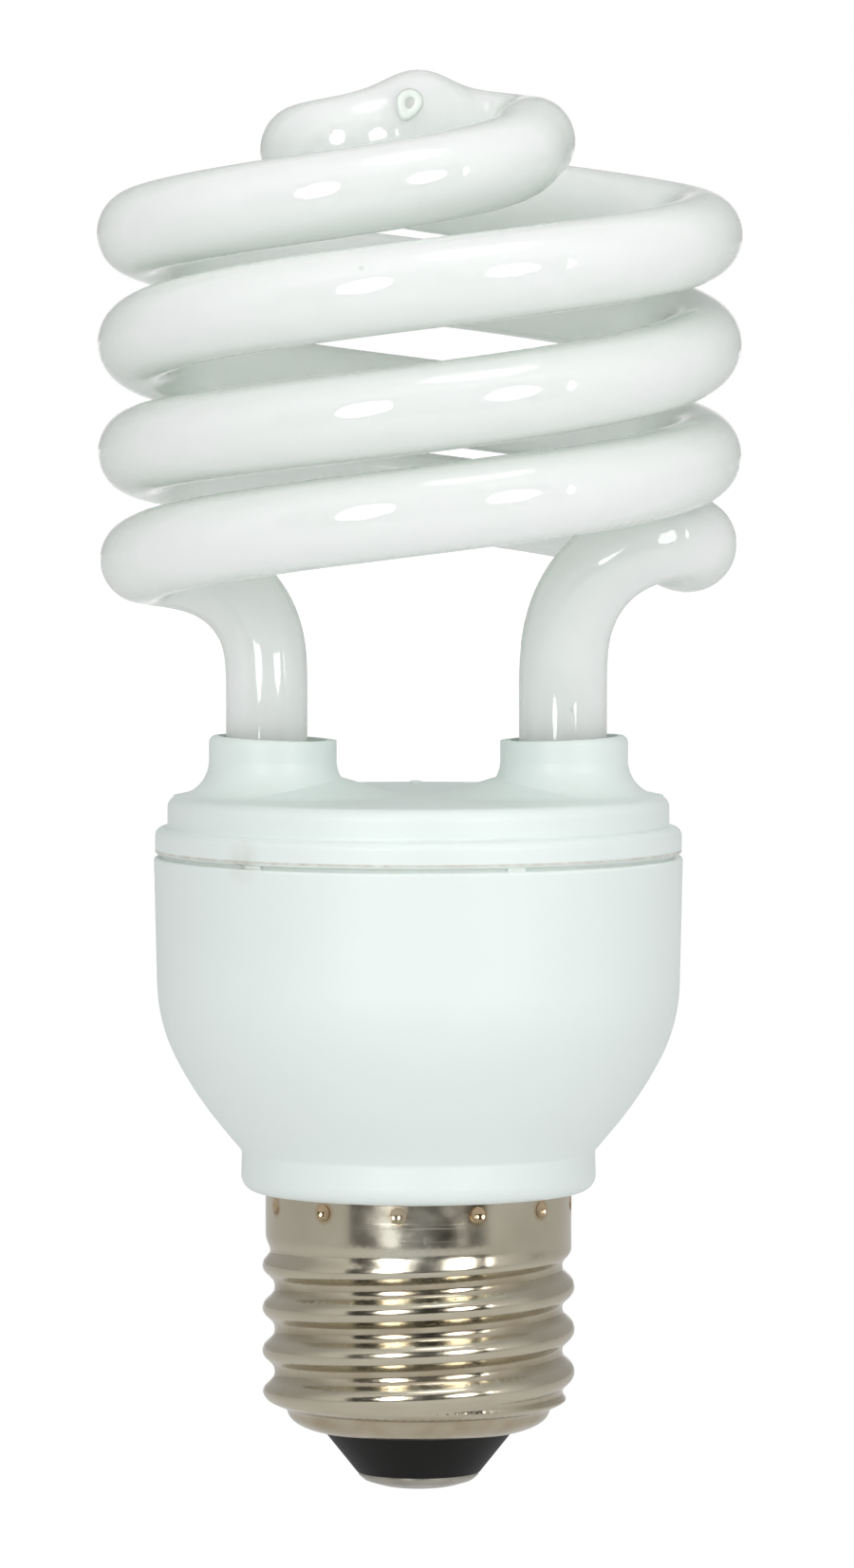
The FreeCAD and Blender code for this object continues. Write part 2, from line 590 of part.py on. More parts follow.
def shell_skin(inset):
    """Outer skin of the rolled shell, or its inner skin at the given inset."""
    gain = pole_gain(SHELL_COLUMNS)
    wave_gain = pole_gain(ROWS_PER_TURN)
    amplitude = (CREST_RADIUS - ROOT_RADIUS) / 2
    rings = []
    for radius, z, out_radius, out_z in shell_meridian():
        top = 1 - ease(z, THREAD_TOP_Z - THREAD_RUN_OUT, THREAD_TOP_Z + THREAD_RUN_OUT / 2)
        bottom = ease(z, THREAD_BOTTOM_Z - THREAD_FADE / 2, THREAD_BOTTOM_Z + THREAD_FADE)
        ring = []
        for k in range(SHELL_COLUMNS):
            turn = k / SHELL_COLUMNS
            wave = thread_wave((z - CREST_Z_AT_RIGHT) / THREAD_PITCH - turn)
            place = radius + amplitude * wave * wave_gain * top * bottom - inset * out_radius
            angle = 2 * math.pi * turn
            ring.append(Vector(place * gain * math.cos(angle), place * gain * math.sin(angle),
                               z + inset * -out_z))
        rings.append(ring)
    return smooth_skin(rings)


def dimple_balls(radius):
    """Balls of the given radius round the neck, one for each punched dimple."""
    place = Vector(SHELL_NECK_RADIUS - DIMPLE_DEPTH + DIMPLE_BALL, 0, DIMPLE_Z)
    return around(Part.makeSphere(radius, place), DIMPLE_COUNT, DIMPLE_START)


def make_screw_shell():
    """Rolled sheet shell with its thread, dimples punched into the neck, and a turned-in mouth."""
    outer = shell_skin(0)
    inner = shell_skin(SHELL_WALL)
    rims = []
    for pick in (max, min):
        pair = [pick([e for e in skin.Edges if e.isClosed()], key=lambda e: e.BoundBox.Center.z)
                for skin in (outer, inner)]
        rims.append(Part.makeRuledSurface(pair[0], pair[1]))
    shell = Part.Shell([outer, inner] + rims)
    shell.sewShape()
    sheet = closed_solid(shell.Faces)
    within = rod(SHELL_NECK_RADIUS - SHELL_WALL / 2, THREAD_TOP_Z, SKIRT_FOOT_Z - SHELL_TOP_GAP)
    bumps = [ball.common(within) for ball in dimple_balls(DIMPLE_BALL + SHELL_WALL)]
    return sheet.fuse(bumps).cut(dimple_balls(DIMPLE_BALL))


def make_cap_insulator():
    """Dark glass button that fills the shell's mouth, with a hub round the centre lead."""
    flange_z = SHELL_MOUTH_Z + SHELL_WALL + SEAT
    hole_radius = LEAD_RADIUS + HOLE_CLEARANCE
    neck_radius = SHELL_MOUTH_RADIUS - SEAT
    return turned([(hole_radius, CONTACT_HEIGHT, 0),
                   (INSULATOR_FOOT_RADIUS, CONTACT_HEIGHT, 0.2),
                   (neck_radius, SHELL_MOUTH_Z, 0.5),
                   (neck_radius, flange_z, 0),
                   (INSULATOR_FLANGE_RADIUS, flange_z, 0),
                   (INSULATOR_FLANGE_RADIUS, INSULATOR_TOP_Z, 0.5),
                   (INSULATOR_HUB_RADIUS, INSULATOR_TOP_Z, 0.5),
                   (INSULATOR_HUB_RADIUS, INSULATOR_TOP_Z + INSULATOR_HUB_HEIGHT, 0.4),
                   (hole_radius, INSULATOR_TOP_Z + INSULATOR_HUB_HEIGHT, 0)])


def make_centre_contact():
    """Round contact with its domed solder."""
    return turned([(0, 0, 0),
                   (0.55 * CONTACT_RADIUS, 0.1, CONTACT_ROUND),
                   (0.9 * CONTACT_RADIUS, 0.5 * CONTACT_HEIGHT, 1.0),
                   (CONTACT_RADIUS, CONTACT_HEIGHT - 0.2, 0.15),
                   (CONTACT_RADIUS, CONTACT_HEIGHT, 0),
                   (0, CONTACT_HEIGHT, 0)])


def leg_place(side):
    """Centre x and radius of the tube's left (-1) or right (+1) leg."""
    if side < 0:
        return COIL_OFFSET - LEFT_LEG_X, LEFT_LEG_RADIUS
    return COIL_OFFSET + RIGHT_LEG_X, RIGHT_LEG_RADIUS


def make_tube_cement(side):
    """Ring of cement between a leg and its socket."""
    x, radius = leg_place(side)
    plug = rod(COLLAR_BORE_RADIUS - SEAT, CEMENT_FOOT_Z, CEMENT_TOP_Z, side * COLLAR_X)
    return plug.cut(rod(radius + SEAT, CEMENT_FOOT_Z - 1, CEMENT_TOP_Z + 1, x))


def board_foot():
    return BOARD_TOP_Z - BOARD_THICKNESS


def body_top():
    """Height of the part bodies' upper ends, just under the board."""
    return board_foot() - STAND_OFF


def lead_rods(places, start_z):
    """Straight leads from a part's body up through the board."""
    return [rod(LEAD_RADIUS, start_z, BOARD_TOP_Z + LEAD_STICKS_OUT, x, y) for x, y in places]


def pin_places():
    """The four wrap pins, inboard of each leg, front ones first."""
    return [(side * (COLLAR_X - PIN_INBOARD), depth * PIN_SIDE) for side in (-1, 1) for depth in (-1, 1)]


def can_leads():
    return [(CAN_X, -CAN_PITCH / 2), (CAN_X, CAN_PITCH / 2)]


def bobbin_leads():
    return [(CHOKE_X + i * BOBBIN_PIN_SIDE, j * BOBBIN_PIN_SIDE) for i in (-1, 1) for j in (-1, 1)]


def turned_place(radius, angle, x, y):
    """Place (x, y) of a frame that stands at a radius and angle, x outward and y round the axis."""
    turn = math.radians(angle)
    return ((radius + x) * math.cos(turn) - y * math.sin(turn),
            (radius + x) * math.sin(turn) + y * math.cos(turn))


def transistor_leads(angle):
    return [turned_place(TRANSISTOR_RADIUS, angle, 0, i * TRANSISTOR_PITCH) for i in (-1, 0, 1)]


def film_capacitors():
    """Name: centre x, centre y, size x, size y, height, lead pitch along x or y."""
    return {"resonant_capacitor": (0, RESONANT_Y, RESONANT_WIDTH, RESONANT_DEPTH, RESONANT_HEIGHT,
                                   RESONANT_PITCH, 0),
            "coupling_capacitor": (COUPLING_X, 0, COUPLING_WIDTH, COUPLING_DEPTH, COUPLING_HEIGHT,
                                   0, COUPLING_PITCH)}


def film_leads(name):
    x, y, _, _, _, pitch_x, pitch_y = film_capacitors()[name]
    return [(x + i * pitch_x / 2, y + i * pitch_y / 2) for i in (-1, 1)]


def start_leads():
    return [(START_X + i * START_PITCH / 2, START_Y) for i in (-1, 1)]


def inductor_leads():
    return [(INDUCTOR_X + i * INDUCTOR_PITCH / 2, INDUCTOR_Y) for i in (-1, 1)]


def diode_places():
    return [(DIODE_X + i * DIODE_SPACING, DIODE_Y, -1) for i in range(DIODE_COUNT)]


def hairpin_return(place, radius):
    """Where a hairpin's long lead comes back to the board: outward (+1) or inward (-1) of its body."""
    x, y, fold = place
    step = fold * (radius + LEAD_RADIUS + HAIRPIN_GAP) / math.hypot(x, y)
    return x + step * x, y + step * y


def board_holes():
    """Every round hole in the board."""
    holes = can_leads() + bobbin_leads() + start_leads() + inductor_leads()
    for angle in (-TRANSISTOR_ANGLE, TRANSISTOR_ANGLE):
        holes += transistor_leads(angle)
    for name in film_capacitors():
        holes += film_leads(name)
    hairpins = [(place, DIODE_RADIUS) for place in diode_places()]
    hairpins += [(place, RESISTOR_RADIUS) for place in RESISTOR_PLACES]
    hairpins.append((TRIGGER_PLACE, TRIGGER_RADIUS))
    for place, radius in hairpins:
        holes += [place[:2], hairpin_return(place, radius)]
    holes += [(FUSE_LEAD_X, 0), (SHELL_LEAD_X, SHELL_LEAD_Y)]
    return holes


def make_circuit_board():
    board = rod(BOARD_RADIUS, board_foot(), BOARD_TOP_Z)
    drills = [rod(LEAD_RADIUS + HOLE_CLEARANCE, board_foot() - 1, BOARD_TOP_Z + 1, x, y)
              for x, y in board_holes()]
    slot = PIN_WIDTH + 2 * SEAT
    drills += [block(x, y, board_foot() - 1, slot, slot, BOARD_THICKNESS + 2) for x, y in pin_places()]
    return board.cut(drills)


def make_wrap_pins():
    """Square pins that the electrode leads are wound on."""
    foot = board_foot() - STAND_OFF / 2
    height = BOARD_TOP_Z + PIN_HEIGHT - foot
    return Part.Compound([block(x, y, foot, PIN_WIDTH, PIN_WIDTH, height) for x, y in pin_places()])


def make_electrode_lead(side, depth):
    """Wire from a pinched foot to its pin, ending in two turns round it."""
    x = leg_place(side)[0]
    pin_x, pin_y = side * (COLLAR_X - PIN_INBOARD), depth * PIN_SIDE
    start = Vector(x, depth * ELECTRODE_SIDE, LEG_FOOT_Z)
    turn_radius = PIN_WIDTH * math.sqrt(0.5) + SEAT + ELECTRODE_TURN_RADIUS
    corner = Vector(x, depth * ELECTRODE_SIDE, ELECTRODE_Z)
    along = (Vector(pin_x, pin_y, ELECTRODE_Z) - corner).normalize()
    aside = Vector(-along.y, along.x, 0) * turn_radius
    end = Vector(pin_x, pin_y, ELECTRODE_Z) + aside
    wire = wire_lead([start, corner, end], ELECTRODE_RADIUS, ELECTRODE_BEND)
    turns = [Part.makeTorus(turn_radius, ELECTRODE_TURN_RADIUS, Vector(pin_x, pin_y, ELECTRODE_Z + lift))
             for lift in (0, 1.7 * ELECTRODE_TURN_RADIUS)]
    return wire.fuse(turns)


def make_electrolytic_capacitor():
    """Crimped can with a grooved neck, hanging down into the skirt."""
    top = body_top()
    foot = top - CAN_LENGTH
    can = turned([(0, foot, 0),
                  (CAN_RADIUS, foot, 0.8),
                  (CAN_RADIUS, top - 3.2, 0.3),
                  (CAN_RADIUS - 0.5, top - 2.7, 0.3),
                  (CAN_RADIUS, top - 2.2, 0.3),
                  (CAN_RADIUS, top, 0.5),
                  (CAN_RADIUS - 1.1, top, 0),
                  (CAN_RADIUS - 1.1, top - 0.3, 0),
                  (0, top - 0.3, 0)], CAN_X)
    return can.fuse(lead_rods(can_leads(), top - 1))


def core_half(foot, direction):
    """E-shaped ferrite half that stands on its back (+1) or hangs from it (-1)."""
    half = CORE_HEIGHT / 2 - SEAT / 2
    window = CORE_WIDTH / 2 - CORE_OUTER_LEG - CORE_LEG / 2
    body = block(CHOKE_X, 0, foot, CORE_THICKNESS, CORE_WIDTH, half)
    opening_z = foot + CORE_BACK if direction > 0 else foot
    cuts = [block(CHOKE_X, i * (CORE_LEG + window) / 2, opening_z, CORE_THICKNESS + 2, window,
                  half - CORE_BACK) for i in (-1, 1)]
    body = body.cut(cuts)
    corners = [edge for edge in body.Edges if edge.BoundBox.XLength > CORE_THICKNESS - 0.01
               and abs(edge.BoundBox.YMin) > CORE_WIDTH / 2 - 0.01
               and abs(edge.BoundBox.ZMin - (foot if direction > 0 else foot + half)) < 0.01]
    return body.makeFillet(0.5, corners)


def make_choke_core_lower():
    return core_half(body_top() - CORE_HEIGHT, 1)


def make_choke_core_upper():
    return core_half(body_top() - CORE_HEIGHT / 2 + SEAT / 2, -1)


def rounded_block(x, y, bottom, width, depth, height, radius):
    box = block(x, y, bottom, width, depth, height)
    return box.makeFillet(radius, [edge for edge in box.Edges if edge.BoundBox.ZLength > height - 0.01])


def make_choke_bobbin():
    """Square tube round the core's middle leg, with two flanges and four pins."""
    foot = body_top() - CORE_HEIGHT + CORE_BACK + SEAT
    height = CORE_HEIGHT - 2 * CORE_BACK - 2 * SEAT
    tube_x = CORE_THICKNESS + 2 * BOBBIN_WALL + 4 * SEAT
    tube_y = CORE_LEG + 2 * BOBBIN_WALL + 4 * SEAT
    tube = block(CHOKE_X, 0, foot, tube_x, tube_y, height)
    flanges = [rounded_block(CHOKE_X, 0, z, BOBBIN_SIZE, BOBBIN_SIZE, FLANGE_THICKNESS, 1.0)
               for z in (foot, foot + height - FLANGE_THICKNESS)]
    body = tube.fuse(flanges).cut(block(CHOKE_X, 0, foot - 1, CORE_THICKNESS + 4 * SEAT,
                                        CORE_LEG + 4 * SEAT, height + 2))
    return body.fuse(lead_rods(bobbin_leads(), foot + height - FLANGE_THICKNESS / 2))


def make_choke_winding():
    foot = body_top() - CORE_HEIGHT + CORE_BACK + 2 * SEAT + FLANGE_THICKNESS
    height = CORE_HEIGHT - 2 * CORE_BACK - 2 * FLANGE_THICKNESS - 4 * SEAT
    size = BOBBIN_SIZE - 0.8
    coil = rounded_block(CHOKE_X, 0, foot, size, size, height, 2.2)
    return coil.cut(block(CHOKE_X, 0, foot - 1, CORE_THICKNESS + 2 * BOBBIN_WALL + 6 * SEAT,
                          CORE_LEG + 2 * BOBBIN_WALL + 6 * SEAT, height + 2))


def make_toroid_core():
    top = body_top() - TOROID_DROP
    foot = top - TOROID_HEIGHT
    return turned([(TOROID_BORE_RADIUS, foot, 0.4), (TOROID_RADIUS, foot, 0.4),
                   (TOROID_RADIUS, top, 0.4), (TOROID_BORE_RADIUS, top, 0.4)], TOROID_X, TOROID_Y)


def make_toroid_windings():
    """Turns of insulated wire round the ring; each end turn of a winding runs up to the board."""
    top = body_top() - TOROID_DROP
    gap = TURN_WIRE_RADIUS + SEAT
    low, high = TOROID_BORE_RADIUS - gap, TOROID_RADIUS + gap
    loop = outline([(low, top - TOROID_HEIGHT - gap, 0.5), (high, top - TOROID_HEIGHT - gap, 0.5),
                    (high, top + gap, 0.5), (low, top + gap, 0.5)])
    start = loop.Edges[0].valueAt(loop.Edges[0].FirstParameter)
    ahead = loop.Edges[0].tangentAt(loop.Edges[0].FirstParameter)
    section = Part.Wire(Part.Circle(start, ahead, TURN_WIRE_RADIUS).toShape())
    turn = loop.makePipeShell([section], True, False)
    lead = rod(TURN_WIRE_RADIUS, top + gap, board_foot(), high)
    turns = []
    for first, count in ((20, 3), (140, 3), (260, 2)):
        for i in range(count):
            shape = turn.fuse(lead) if i in (0, count - 1) else turn.copy()
            shape.rotate(Vector(), Vector(0, 0, 1), first + 18 * i)
            shape.translate(Vector(TOROID_X, TOROID_Y, 0))
            turns.append(shape)
    return Part.Compound([solid for shape in turns for solid in shape.Solids])


def make_transistor(angle):
    """Flat three-legged package with its mounting hole, facing outward."""
    top = board_foot() - TRANSISTOR_LEAD
    foot = top - TRANSISTOR_HEIGHT
    x, y = turned_place(TRANSISTOR_RADIUS, angle, 0, 0)
    body = block(x, y, foot, TRANSISTOR_THICKNESS, TRANSISTOR_WIDTH, TRANSISTOR_HEIGHT, angle)
    body = body.makeFillet(0.3, body.Edges)
    hole_foot = Vector(-TRANSISTOR_THICKNESS, 0, foot + TRANSISTOR_HOLE_HEIGHT)
    hole = Part.makeCylinder(TRANSISTOR_HOLE_RADIUS, 2 * TRANSISTOR_THICKNESS, hole_foot, Vector(1, 0, 0))
    hole.rotate(Vector(), Vector(0, 0, 1), angle)
    hole.translate(Vector(x, y, 0))
    return body.cut(hole).fuse(lead_rods(transistor_leads(angle), top - 1))


def make_film_capacitor(name):
    x, y, width, depth, height, _, _ = film_capacitors()[name]
    top = body_top()
    body = block(x, y, top - height, width, depth, height)
    body = body.makeFillet(FILM_CORNER, body.Edges)
    return body.fuse(lead_rods(film_leads(name), top - 1))


def make_start_capacitor():
    """Dipped disc with two leads."""
    middle_z = body_top() - START_RADIUS
    foot = Vector(START_X, START_Y - START_THICKNESS / 2, middle_z)
    disc = Part.makeCylinder(START_RADIUS, START_THICKNESS, foot, Vector(0, 1, 0))
    disc = disc.makeFillet(START_CORNER, [edge for edge in disc.Edges if edge.isClosed()])
    return disc.fuse(lead_rods(start_leads(), middle_z))


def make_filter_inductor_core():
    """Ferrite drum with its two leads."""
    top = body_top()
    foot = top - INDUCTOR_HEIGHT
    drum = turned([(0, foot, 0),
                   (INDUCTOR_RADIUS, foot, 0.3),
                   (INDUCTOR_RADIUS, foot + INDUCTOR_FLANGE, 0.2),
                   (INDUCTOR_WAIST_RADIUS, foot + INDUCTOR_FLANGE, 0),
                   (INDUCTOR_WAIST_RADIUS, top - INDUCTOR_FLANGE, 0),
                   (INDUCTOR_RADIUS, top - INDUCTOR_FLANGE, 0.2),
                   (INDUCTOR_RADIUS, top, 0.3),
                   (0, top, 0)], INDUCTOR_X, INDUCTOR_Y)
    return drum.fuse(lead_rods(inductor_leads(), top - INDUCTOR_FLANGE / 2))


def make_filter_inductor_winding():
    foot = body_top() - INDUCTOR_HEIGHT + INDUCTOR_FLANGE + SEAT
    top = body_top() - INDUCTOR_FLANGE - SEAT
    inner = INDUCTOR_WAIST_RADIUS + SEAT
    outer = INDUCTOR_RADIUS - 0.5
    return turned([(inner, foot, 0), (outer, foot, 0.2), (outer, top, 0.2), (inner, top, 0)],
                  INDUCTOR_X, INDUCTOR_Y)


def hairpin_part(place, radius, length, waist=0):
    """Upright axial part: one lead goes straight up, the other folds back beside the body."""
    x, y, _ = place
    back_x, back_y = hairpin_return(place, radius)
    top = body_top() - HAIRPIN_DROP
    foot = top - length
    corners = [(0, foot, 0), (radius, foot, 0.25), (radius, top, 0.25), (0, top, 0)]
    if waist:
        corners[2:2] = [(radius, foot + HAIRPIN_CAP, 0.2),
                        (radius - waist, foot + HAIRPIN_CAP + 0.3, 0.2),
                        (radius - waist, top - HAIRPIN_CAP - 0.3, 0.2),
                        (radius, top - HAIRPIN_CAP, 0.2)]
    body = turned(corners, x, y)
    low = foot - HAIRPIN_LOOP
    bend = 0.45 * math.hypot(back_x - x, back_y - y)
    folded = wire_lead([Vector(x, y, foot + 0.5),
                        Vector(x, y, low),
                        Vector(back_x, back_y, low),
                        Vector(back_x, back_y, BOARD_TOP_Z + LEAD_STICKS_OUT)], LEAD_RADIUS, bend)
    return body.fuse(lead_rods([(x, y)], top - 0.5) + [folded])


def make_rectifier_diodes():
    return Part.Compound([hairpin_part(place, DIODE_RADIUS, DIODE_LENGTH) for place in diode_places()])


def make_trigger_diode():
    return hairpin_part(TRIGGER_PLACE, TRIGGER_RADIUS, TRIGGER_LENGTH)


def make_resistors():
    return Part.Compound([hairpin_part(place, RESISTOR_RADIUS, RESISTOR_LENGTH, RESISTOR_WAIST)
                          for place in RESISTOR_PLACES])


def make_fusible_resistor():
    """Resistor in the cap: one lead runs down to the contact, the other up to the board."""
    top = FUSE_FOOT_Z + FUSE_LENGTH
    body = turned([(0, FUSE_FOOT_Z, 0), (FUSE_RADIUS, FUSE_FOOT_Z, 0.4),
                   (FUSE_RADIUS, top, 0.4), (0, top, 0)])
    lower = rod(LEAD_RADIUS, CONTACT_HEIGHT, FUSE_FOOT_Z + 1)
    upper = wire_lead([Vector(0, 0, top - 1), Vector(0, 0, top + 2), Vector(FUSE_LEAD_X, 0, top + 6),
                       Vector(FUSE_LEAD_X, 0, BOARD_TOP_Z + LEAD_STICKS_OUT)], LEAD_RADIUS, 2.0)
    return body.fuse([lower, upper])


def make_fuse_sleeve():
    """Shrunk sleeve over the resistor's body."""
    inner = FUSE_RADIUS + SEAT
    top = FUSE_FOOT_Z + FUSE_LENGTH
    return rod(inner + SLEEVE_WALL, FUSE_FOOT_Z, top).cut(rod(inner, FUSE_FOOT_Z - 1, top + 1))


def make_shell_lead():
    """Wire from the board down inside the neck, out under its lower edge to the shell."""
    inner = ROOT_RADIUS - SHELL_WALL - NECK_CLEARANCE - NECK_WALL
    down = -(inner - LEAD_RADIUS - 0.2)
    low = NECK_FOOT_Z - LEAD_RADIUS - 0.2
    reach = -(ROOT_RADIUS - SHELL_WALL - 0.1)
    return wire_lead([Vector(SHELL_LEAD_X, SHELL_LEAD_Y, BOARD_TOP_Z + LEAD_STICKS_OUT),
                      Vector(SHELL_LEAD_X, SHELL_LEAD_Y, SKIRT_FOOT_Z + 8.6),
                      Vector(0, down, SKIRT_FOOT_Z - 0.4),
                      Vector(0, down, low),
                      Vector(0, reach, low)], LEAD_RADIUS, 0.5)


PIECES = {
    "spiral_tube": make_spiral_tube,
    "tube_holder": make_tube_holder,
    "ballast_housing": make_ballast_housing,
    "screw_shell": make_screw_shell,
    "cap_insulator": make_cap_insulator,
    "centre_contact": make_centre_contact,
    "tube_cement_left": lambda: make_tube_cement(-1),
    "tube_cement_right": lambda: make_tube_cement(1),
    "circuit_board": make_circuit_board,
    "wrap_pins": make_wrap_pins,
    "electrode_lead_left_front": lambda: make_electrode_lead(-1, -1),
    "electrode_lead_left_back": lambda: make_electrode_lead(-1, 1),
    "electrode_lead_right_front": lambda: make_electrode_lead(1, -1),
    "electrode_lead_right_back": lambda: make_electrode_lead(1, 1),
    "electrolytic_capacitor": make_electrolytic_capacitor,
    "choke_core_upper": make_choke_core_upper,
    "choke_core_lower": make_choke_core_lower,
    "choke_bobbin": make_choke_bobbin,
    "choke_winding": make_choke_winding,
    "toroid_core": make_toroid_core,
    "toroid_windings": make_toroid_windings,
    "transistor_front": lambda: make_transistor(-TRANSISTOR_ANGLE),
    "transistor_back": lambda: make_transistor(TRANSISTOR_ANGLE),
    "resonant_capacitor": lambda: make_film_capacitor("resonant_capacitor"),
    "coupling_capacitor": lambda: make_film_capacitor("coupling_capacitor"),
    "start_capacitor": make_start_capacitor,
    "filter_inductor_core": make_filter_inductor_core,
    "filter_inductor_winding": make_filter_inductor_winding,
    "rectifier_diodes": make_rectifier_diodes,
    "trigger_diode": make_trigger_diode,
    "resistors": make_resistors,
    "fusible_resistor": make_fusible_resistor,
    "fuse_sleeve": make_fuse_sleeve,
    "shell_lead": make_shell_lead,
}

for name, make in PIECES.items():
    piece = make()
    print(name, piece.isValid(), len(piece.Solids), round(piece.Volume, 1))
    piece.exportStep("parts/" + name + ".step")
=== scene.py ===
# %% [markdown]
# # A spiral energy saving bulb
# The bulb arrives as a finished CAD model: a coiled glass tube, a white plastic housing, a rolled
# screw shell and the electronics inside. Its shapes are already right, so this lesson is mostly
# about light and finish: how coated glass, moulded plastic, nickel plate and solder each answer
# the same soft lamps. Two pieces that are too fine for the CAD are then laid on its surfaces.

# %% Load the frame
import math

import bmesh
import bpy
from mathutils import Matrix, Vector


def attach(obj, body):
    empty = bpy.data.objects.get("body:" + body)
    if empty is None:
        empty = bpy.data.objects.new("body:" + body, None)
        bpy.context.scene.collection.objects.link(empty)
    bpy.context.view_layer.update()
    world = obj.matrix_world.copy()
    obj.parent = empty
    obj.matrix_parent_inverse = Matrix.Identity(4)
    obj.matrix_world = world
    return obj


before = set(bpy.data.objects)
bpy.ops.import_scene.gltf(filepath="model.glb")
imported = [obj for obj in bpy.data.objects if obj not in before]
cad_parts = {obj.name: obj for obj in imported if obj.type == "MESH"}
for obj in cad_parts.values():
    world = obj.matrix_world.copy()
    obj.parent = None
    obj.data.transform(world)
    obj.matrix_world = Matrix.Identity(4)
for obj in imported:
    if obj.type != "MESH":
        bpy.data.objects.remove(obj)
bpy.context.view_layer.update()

MM = 0.001
print("CAD nodes:", len(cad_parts))

# %% [markdown]
# ## Camera
# A long lens from about 0.8 m keeps the turns of the coil nearly parallel. It stands a little
# above the middle of the bulb and looks slightly down, so that the tops of the collars and of the
# cover just show.

# %% Camera
CAMERA_DISTANCE = 0.8
CAMERA_HEIGHT = 0.10538
CAMERA_SIDE = 0.00072
CAMERA_PITCH = math.radians(3.27)
LENS = 217.8

camera_data = bpy.data.cameras.new("camera")
camera_data.lens = LENS
camera = bpy.data.objects.new("camera", camera_data)
camera.location = (CAMERA_SIDE, -CAMERA_DISTANCE, CAMERA_HEIGHT)
camera.rotation_euler = (math.pi / 2 - CAMERA_PITCH, 0, 0)
bpy.context.scene.collection.objects.link(camera)
bpy.context.scene.camera = camera
aim = CAMERA_HEIGHT - CAMERA_DISTANCE * math.tan(CAMERA_PITCH)
print("camera looks at height", round(aim / MM, 1), "mm")

# %% [markdown]
# ## Helpers for materials
# Colours are written as the hex values that a screen shows. The shaders work on linear light, so
# one function turns each value over. Another adds a node, sets it up and links what it is given,
# and a third starts a material. Every pattern reads Object coordinates, which are metres on the
# bulb itself, so a noise texture's scale is one over the size of its blobs.

# %% Colour and node helpers
# Sockets of a Mix node that mixes colours: its share, its two colours and what comes out
SHARE, FIRST, SECOND, MIXED = 0, 6, 7, 2


def linear(code):
    """Linear RGBA of an sRGB hex colour."""
    channels = [int(code[i:i + 2], 16) / 255 for i in (0, 2, 4)]
    return (*[c / 12.92 if c <= 0.04045 else ((c + 0.055) / 1.055) ** 2.4 for c in channels], 1)


def add(tree, kind, inputs=None, **settings):
    """A new node. Each input is a value, or the socket that is linked to it."""
    node = tree.nodes.new("ShaderNode" + kind)
    for name, value in settings.items():
        setattr(node, name, value)
    for name, value in (inputs or {}).items():
        if isinstance(value, bpy.types.NodeSocket):
            tree.links.new(value, node.inputs[name])
        else:
            node.inputs[name].default_value = value
    return node


def finish(name, **values):
    """A new material: its tree, its shader, and Object coordinates to pattern it by."""
    material = bpy.data.materials.new(name)
    material.use_nodes = True
    tree = material.node_tree
    shader = tree.nodes["Principled BSDF"]
    for socket, value in values.items():
        shader.inputs[socket.replace("_", " ")].default_value = value
    place = add(tree, "TexCoord").outputs["Object"]
    return material, tree, shader, place


print("white plastic in linear light:", [round(c, 3) for c in linear("E8F1EE")])

# %% [markdown]
# ## Room light
# The bulb is shown against plain white. The white is only in what the camera sees and in what
# glancing reflections show behind the bulb. The light on it comes from a room that is brightest
# behind the camera, so that round shapes darken toward their edges. With white all round them,
# the edges of glass and metal would vanish.

# %% Room light
FRONT_LEVEL, SIDE_LEVEL = 1.12, 0.48
# A ray heads along Y: -1 is back past the camera, 1 is straight on behind the bulb
SIDE_HEADING = 0.2
BEHIND_HEADING = 0.97
world = bpy.data.worlds.new("room")
bpy.context.scene.world = world
world.use_nodes = True
room = world.node_tree
room.nodes.clear()
ray = add(room, "LightPath").outputs
heading = add(room, "SeparateXYZ", {0: add(room, "TexCoord").outputs["Generated"]}).outputs["Y"]
level = add(room, "MapRange", {"Value": heading, "From Min": -1.0, "From Max": SIDE_HEADING,
                               "To Min": FRONT_LEVEL, "To Max": SIDE_LEVEL}).outputs["Result"]
behind = add(room, "MapRange", {"Value": heading, "From Min": BEHIND_HEADING, "From Max": 1.0})
behind = add(room, "Math", {0: ray["Is Glossy Ray"], 1: behind.outputs["Result"]},
             operation="MULTIPLY").outputs[0]
seen = add(room, "Math", {0: ray["Is Camera Ray"], 1: ray["Is Transmission Ray"]},
           operation="ADD").outputs[0]
seen = add(room, "Math", {0: seen, 1: behind}, operation="ADD", use_clamp=True).outputs[0]
dim = add(room, "Background", {"Color": linear("FFFFFF"), "Strength": level}).outputs[0]
white = add(room, "Background", {"Color": linear("FFFFFF"), "Strength": 1}).outputs[0]
shown = add(room, "MixShader", {0: seen, 1: dim, 2: white}).outputs[0]
add(room, "OutputWorld", {"Surface": shown})
print("room level in front and at the sides:", FRONT_LEVEL, SIDE_LEVEL)

# %% [markdown]
# ## Lamps
# Two tall soft boxes stand left and right in front, and give the paired highlights on every turn.
# A narrow strip further right makes the small third glint, and a weaker lamp hangs overhead. A
# shiny surface shows a lamp at its own brightness, which is far more than it adds to a matt one,
# so each lamp is two lights, a soft fill just behind a bright shine.

# %% Lamps
LAMP_TARGET = Vector((0, 0, 0.075))
FILL_BEHIND = 0.03
# Name: azimuth and elevation in degrees, distance, width and height in metres, fill and shine
LAMPS = {
    "soft_box_left": (-21, 13, 1.2, 0.42, 0.75, 1.6, 9.0),
    "soft_box_right": (32, 12, 1.2, 0.42, 0.62, 1.6, 8.0),
    "strip_right": (54, 12, 1.2, 0.07, 0.45, 4.0, 9.0),
    "overhead": (26, 72, 1.0, 0.5, 0.5, 3.0, 3.0),
}


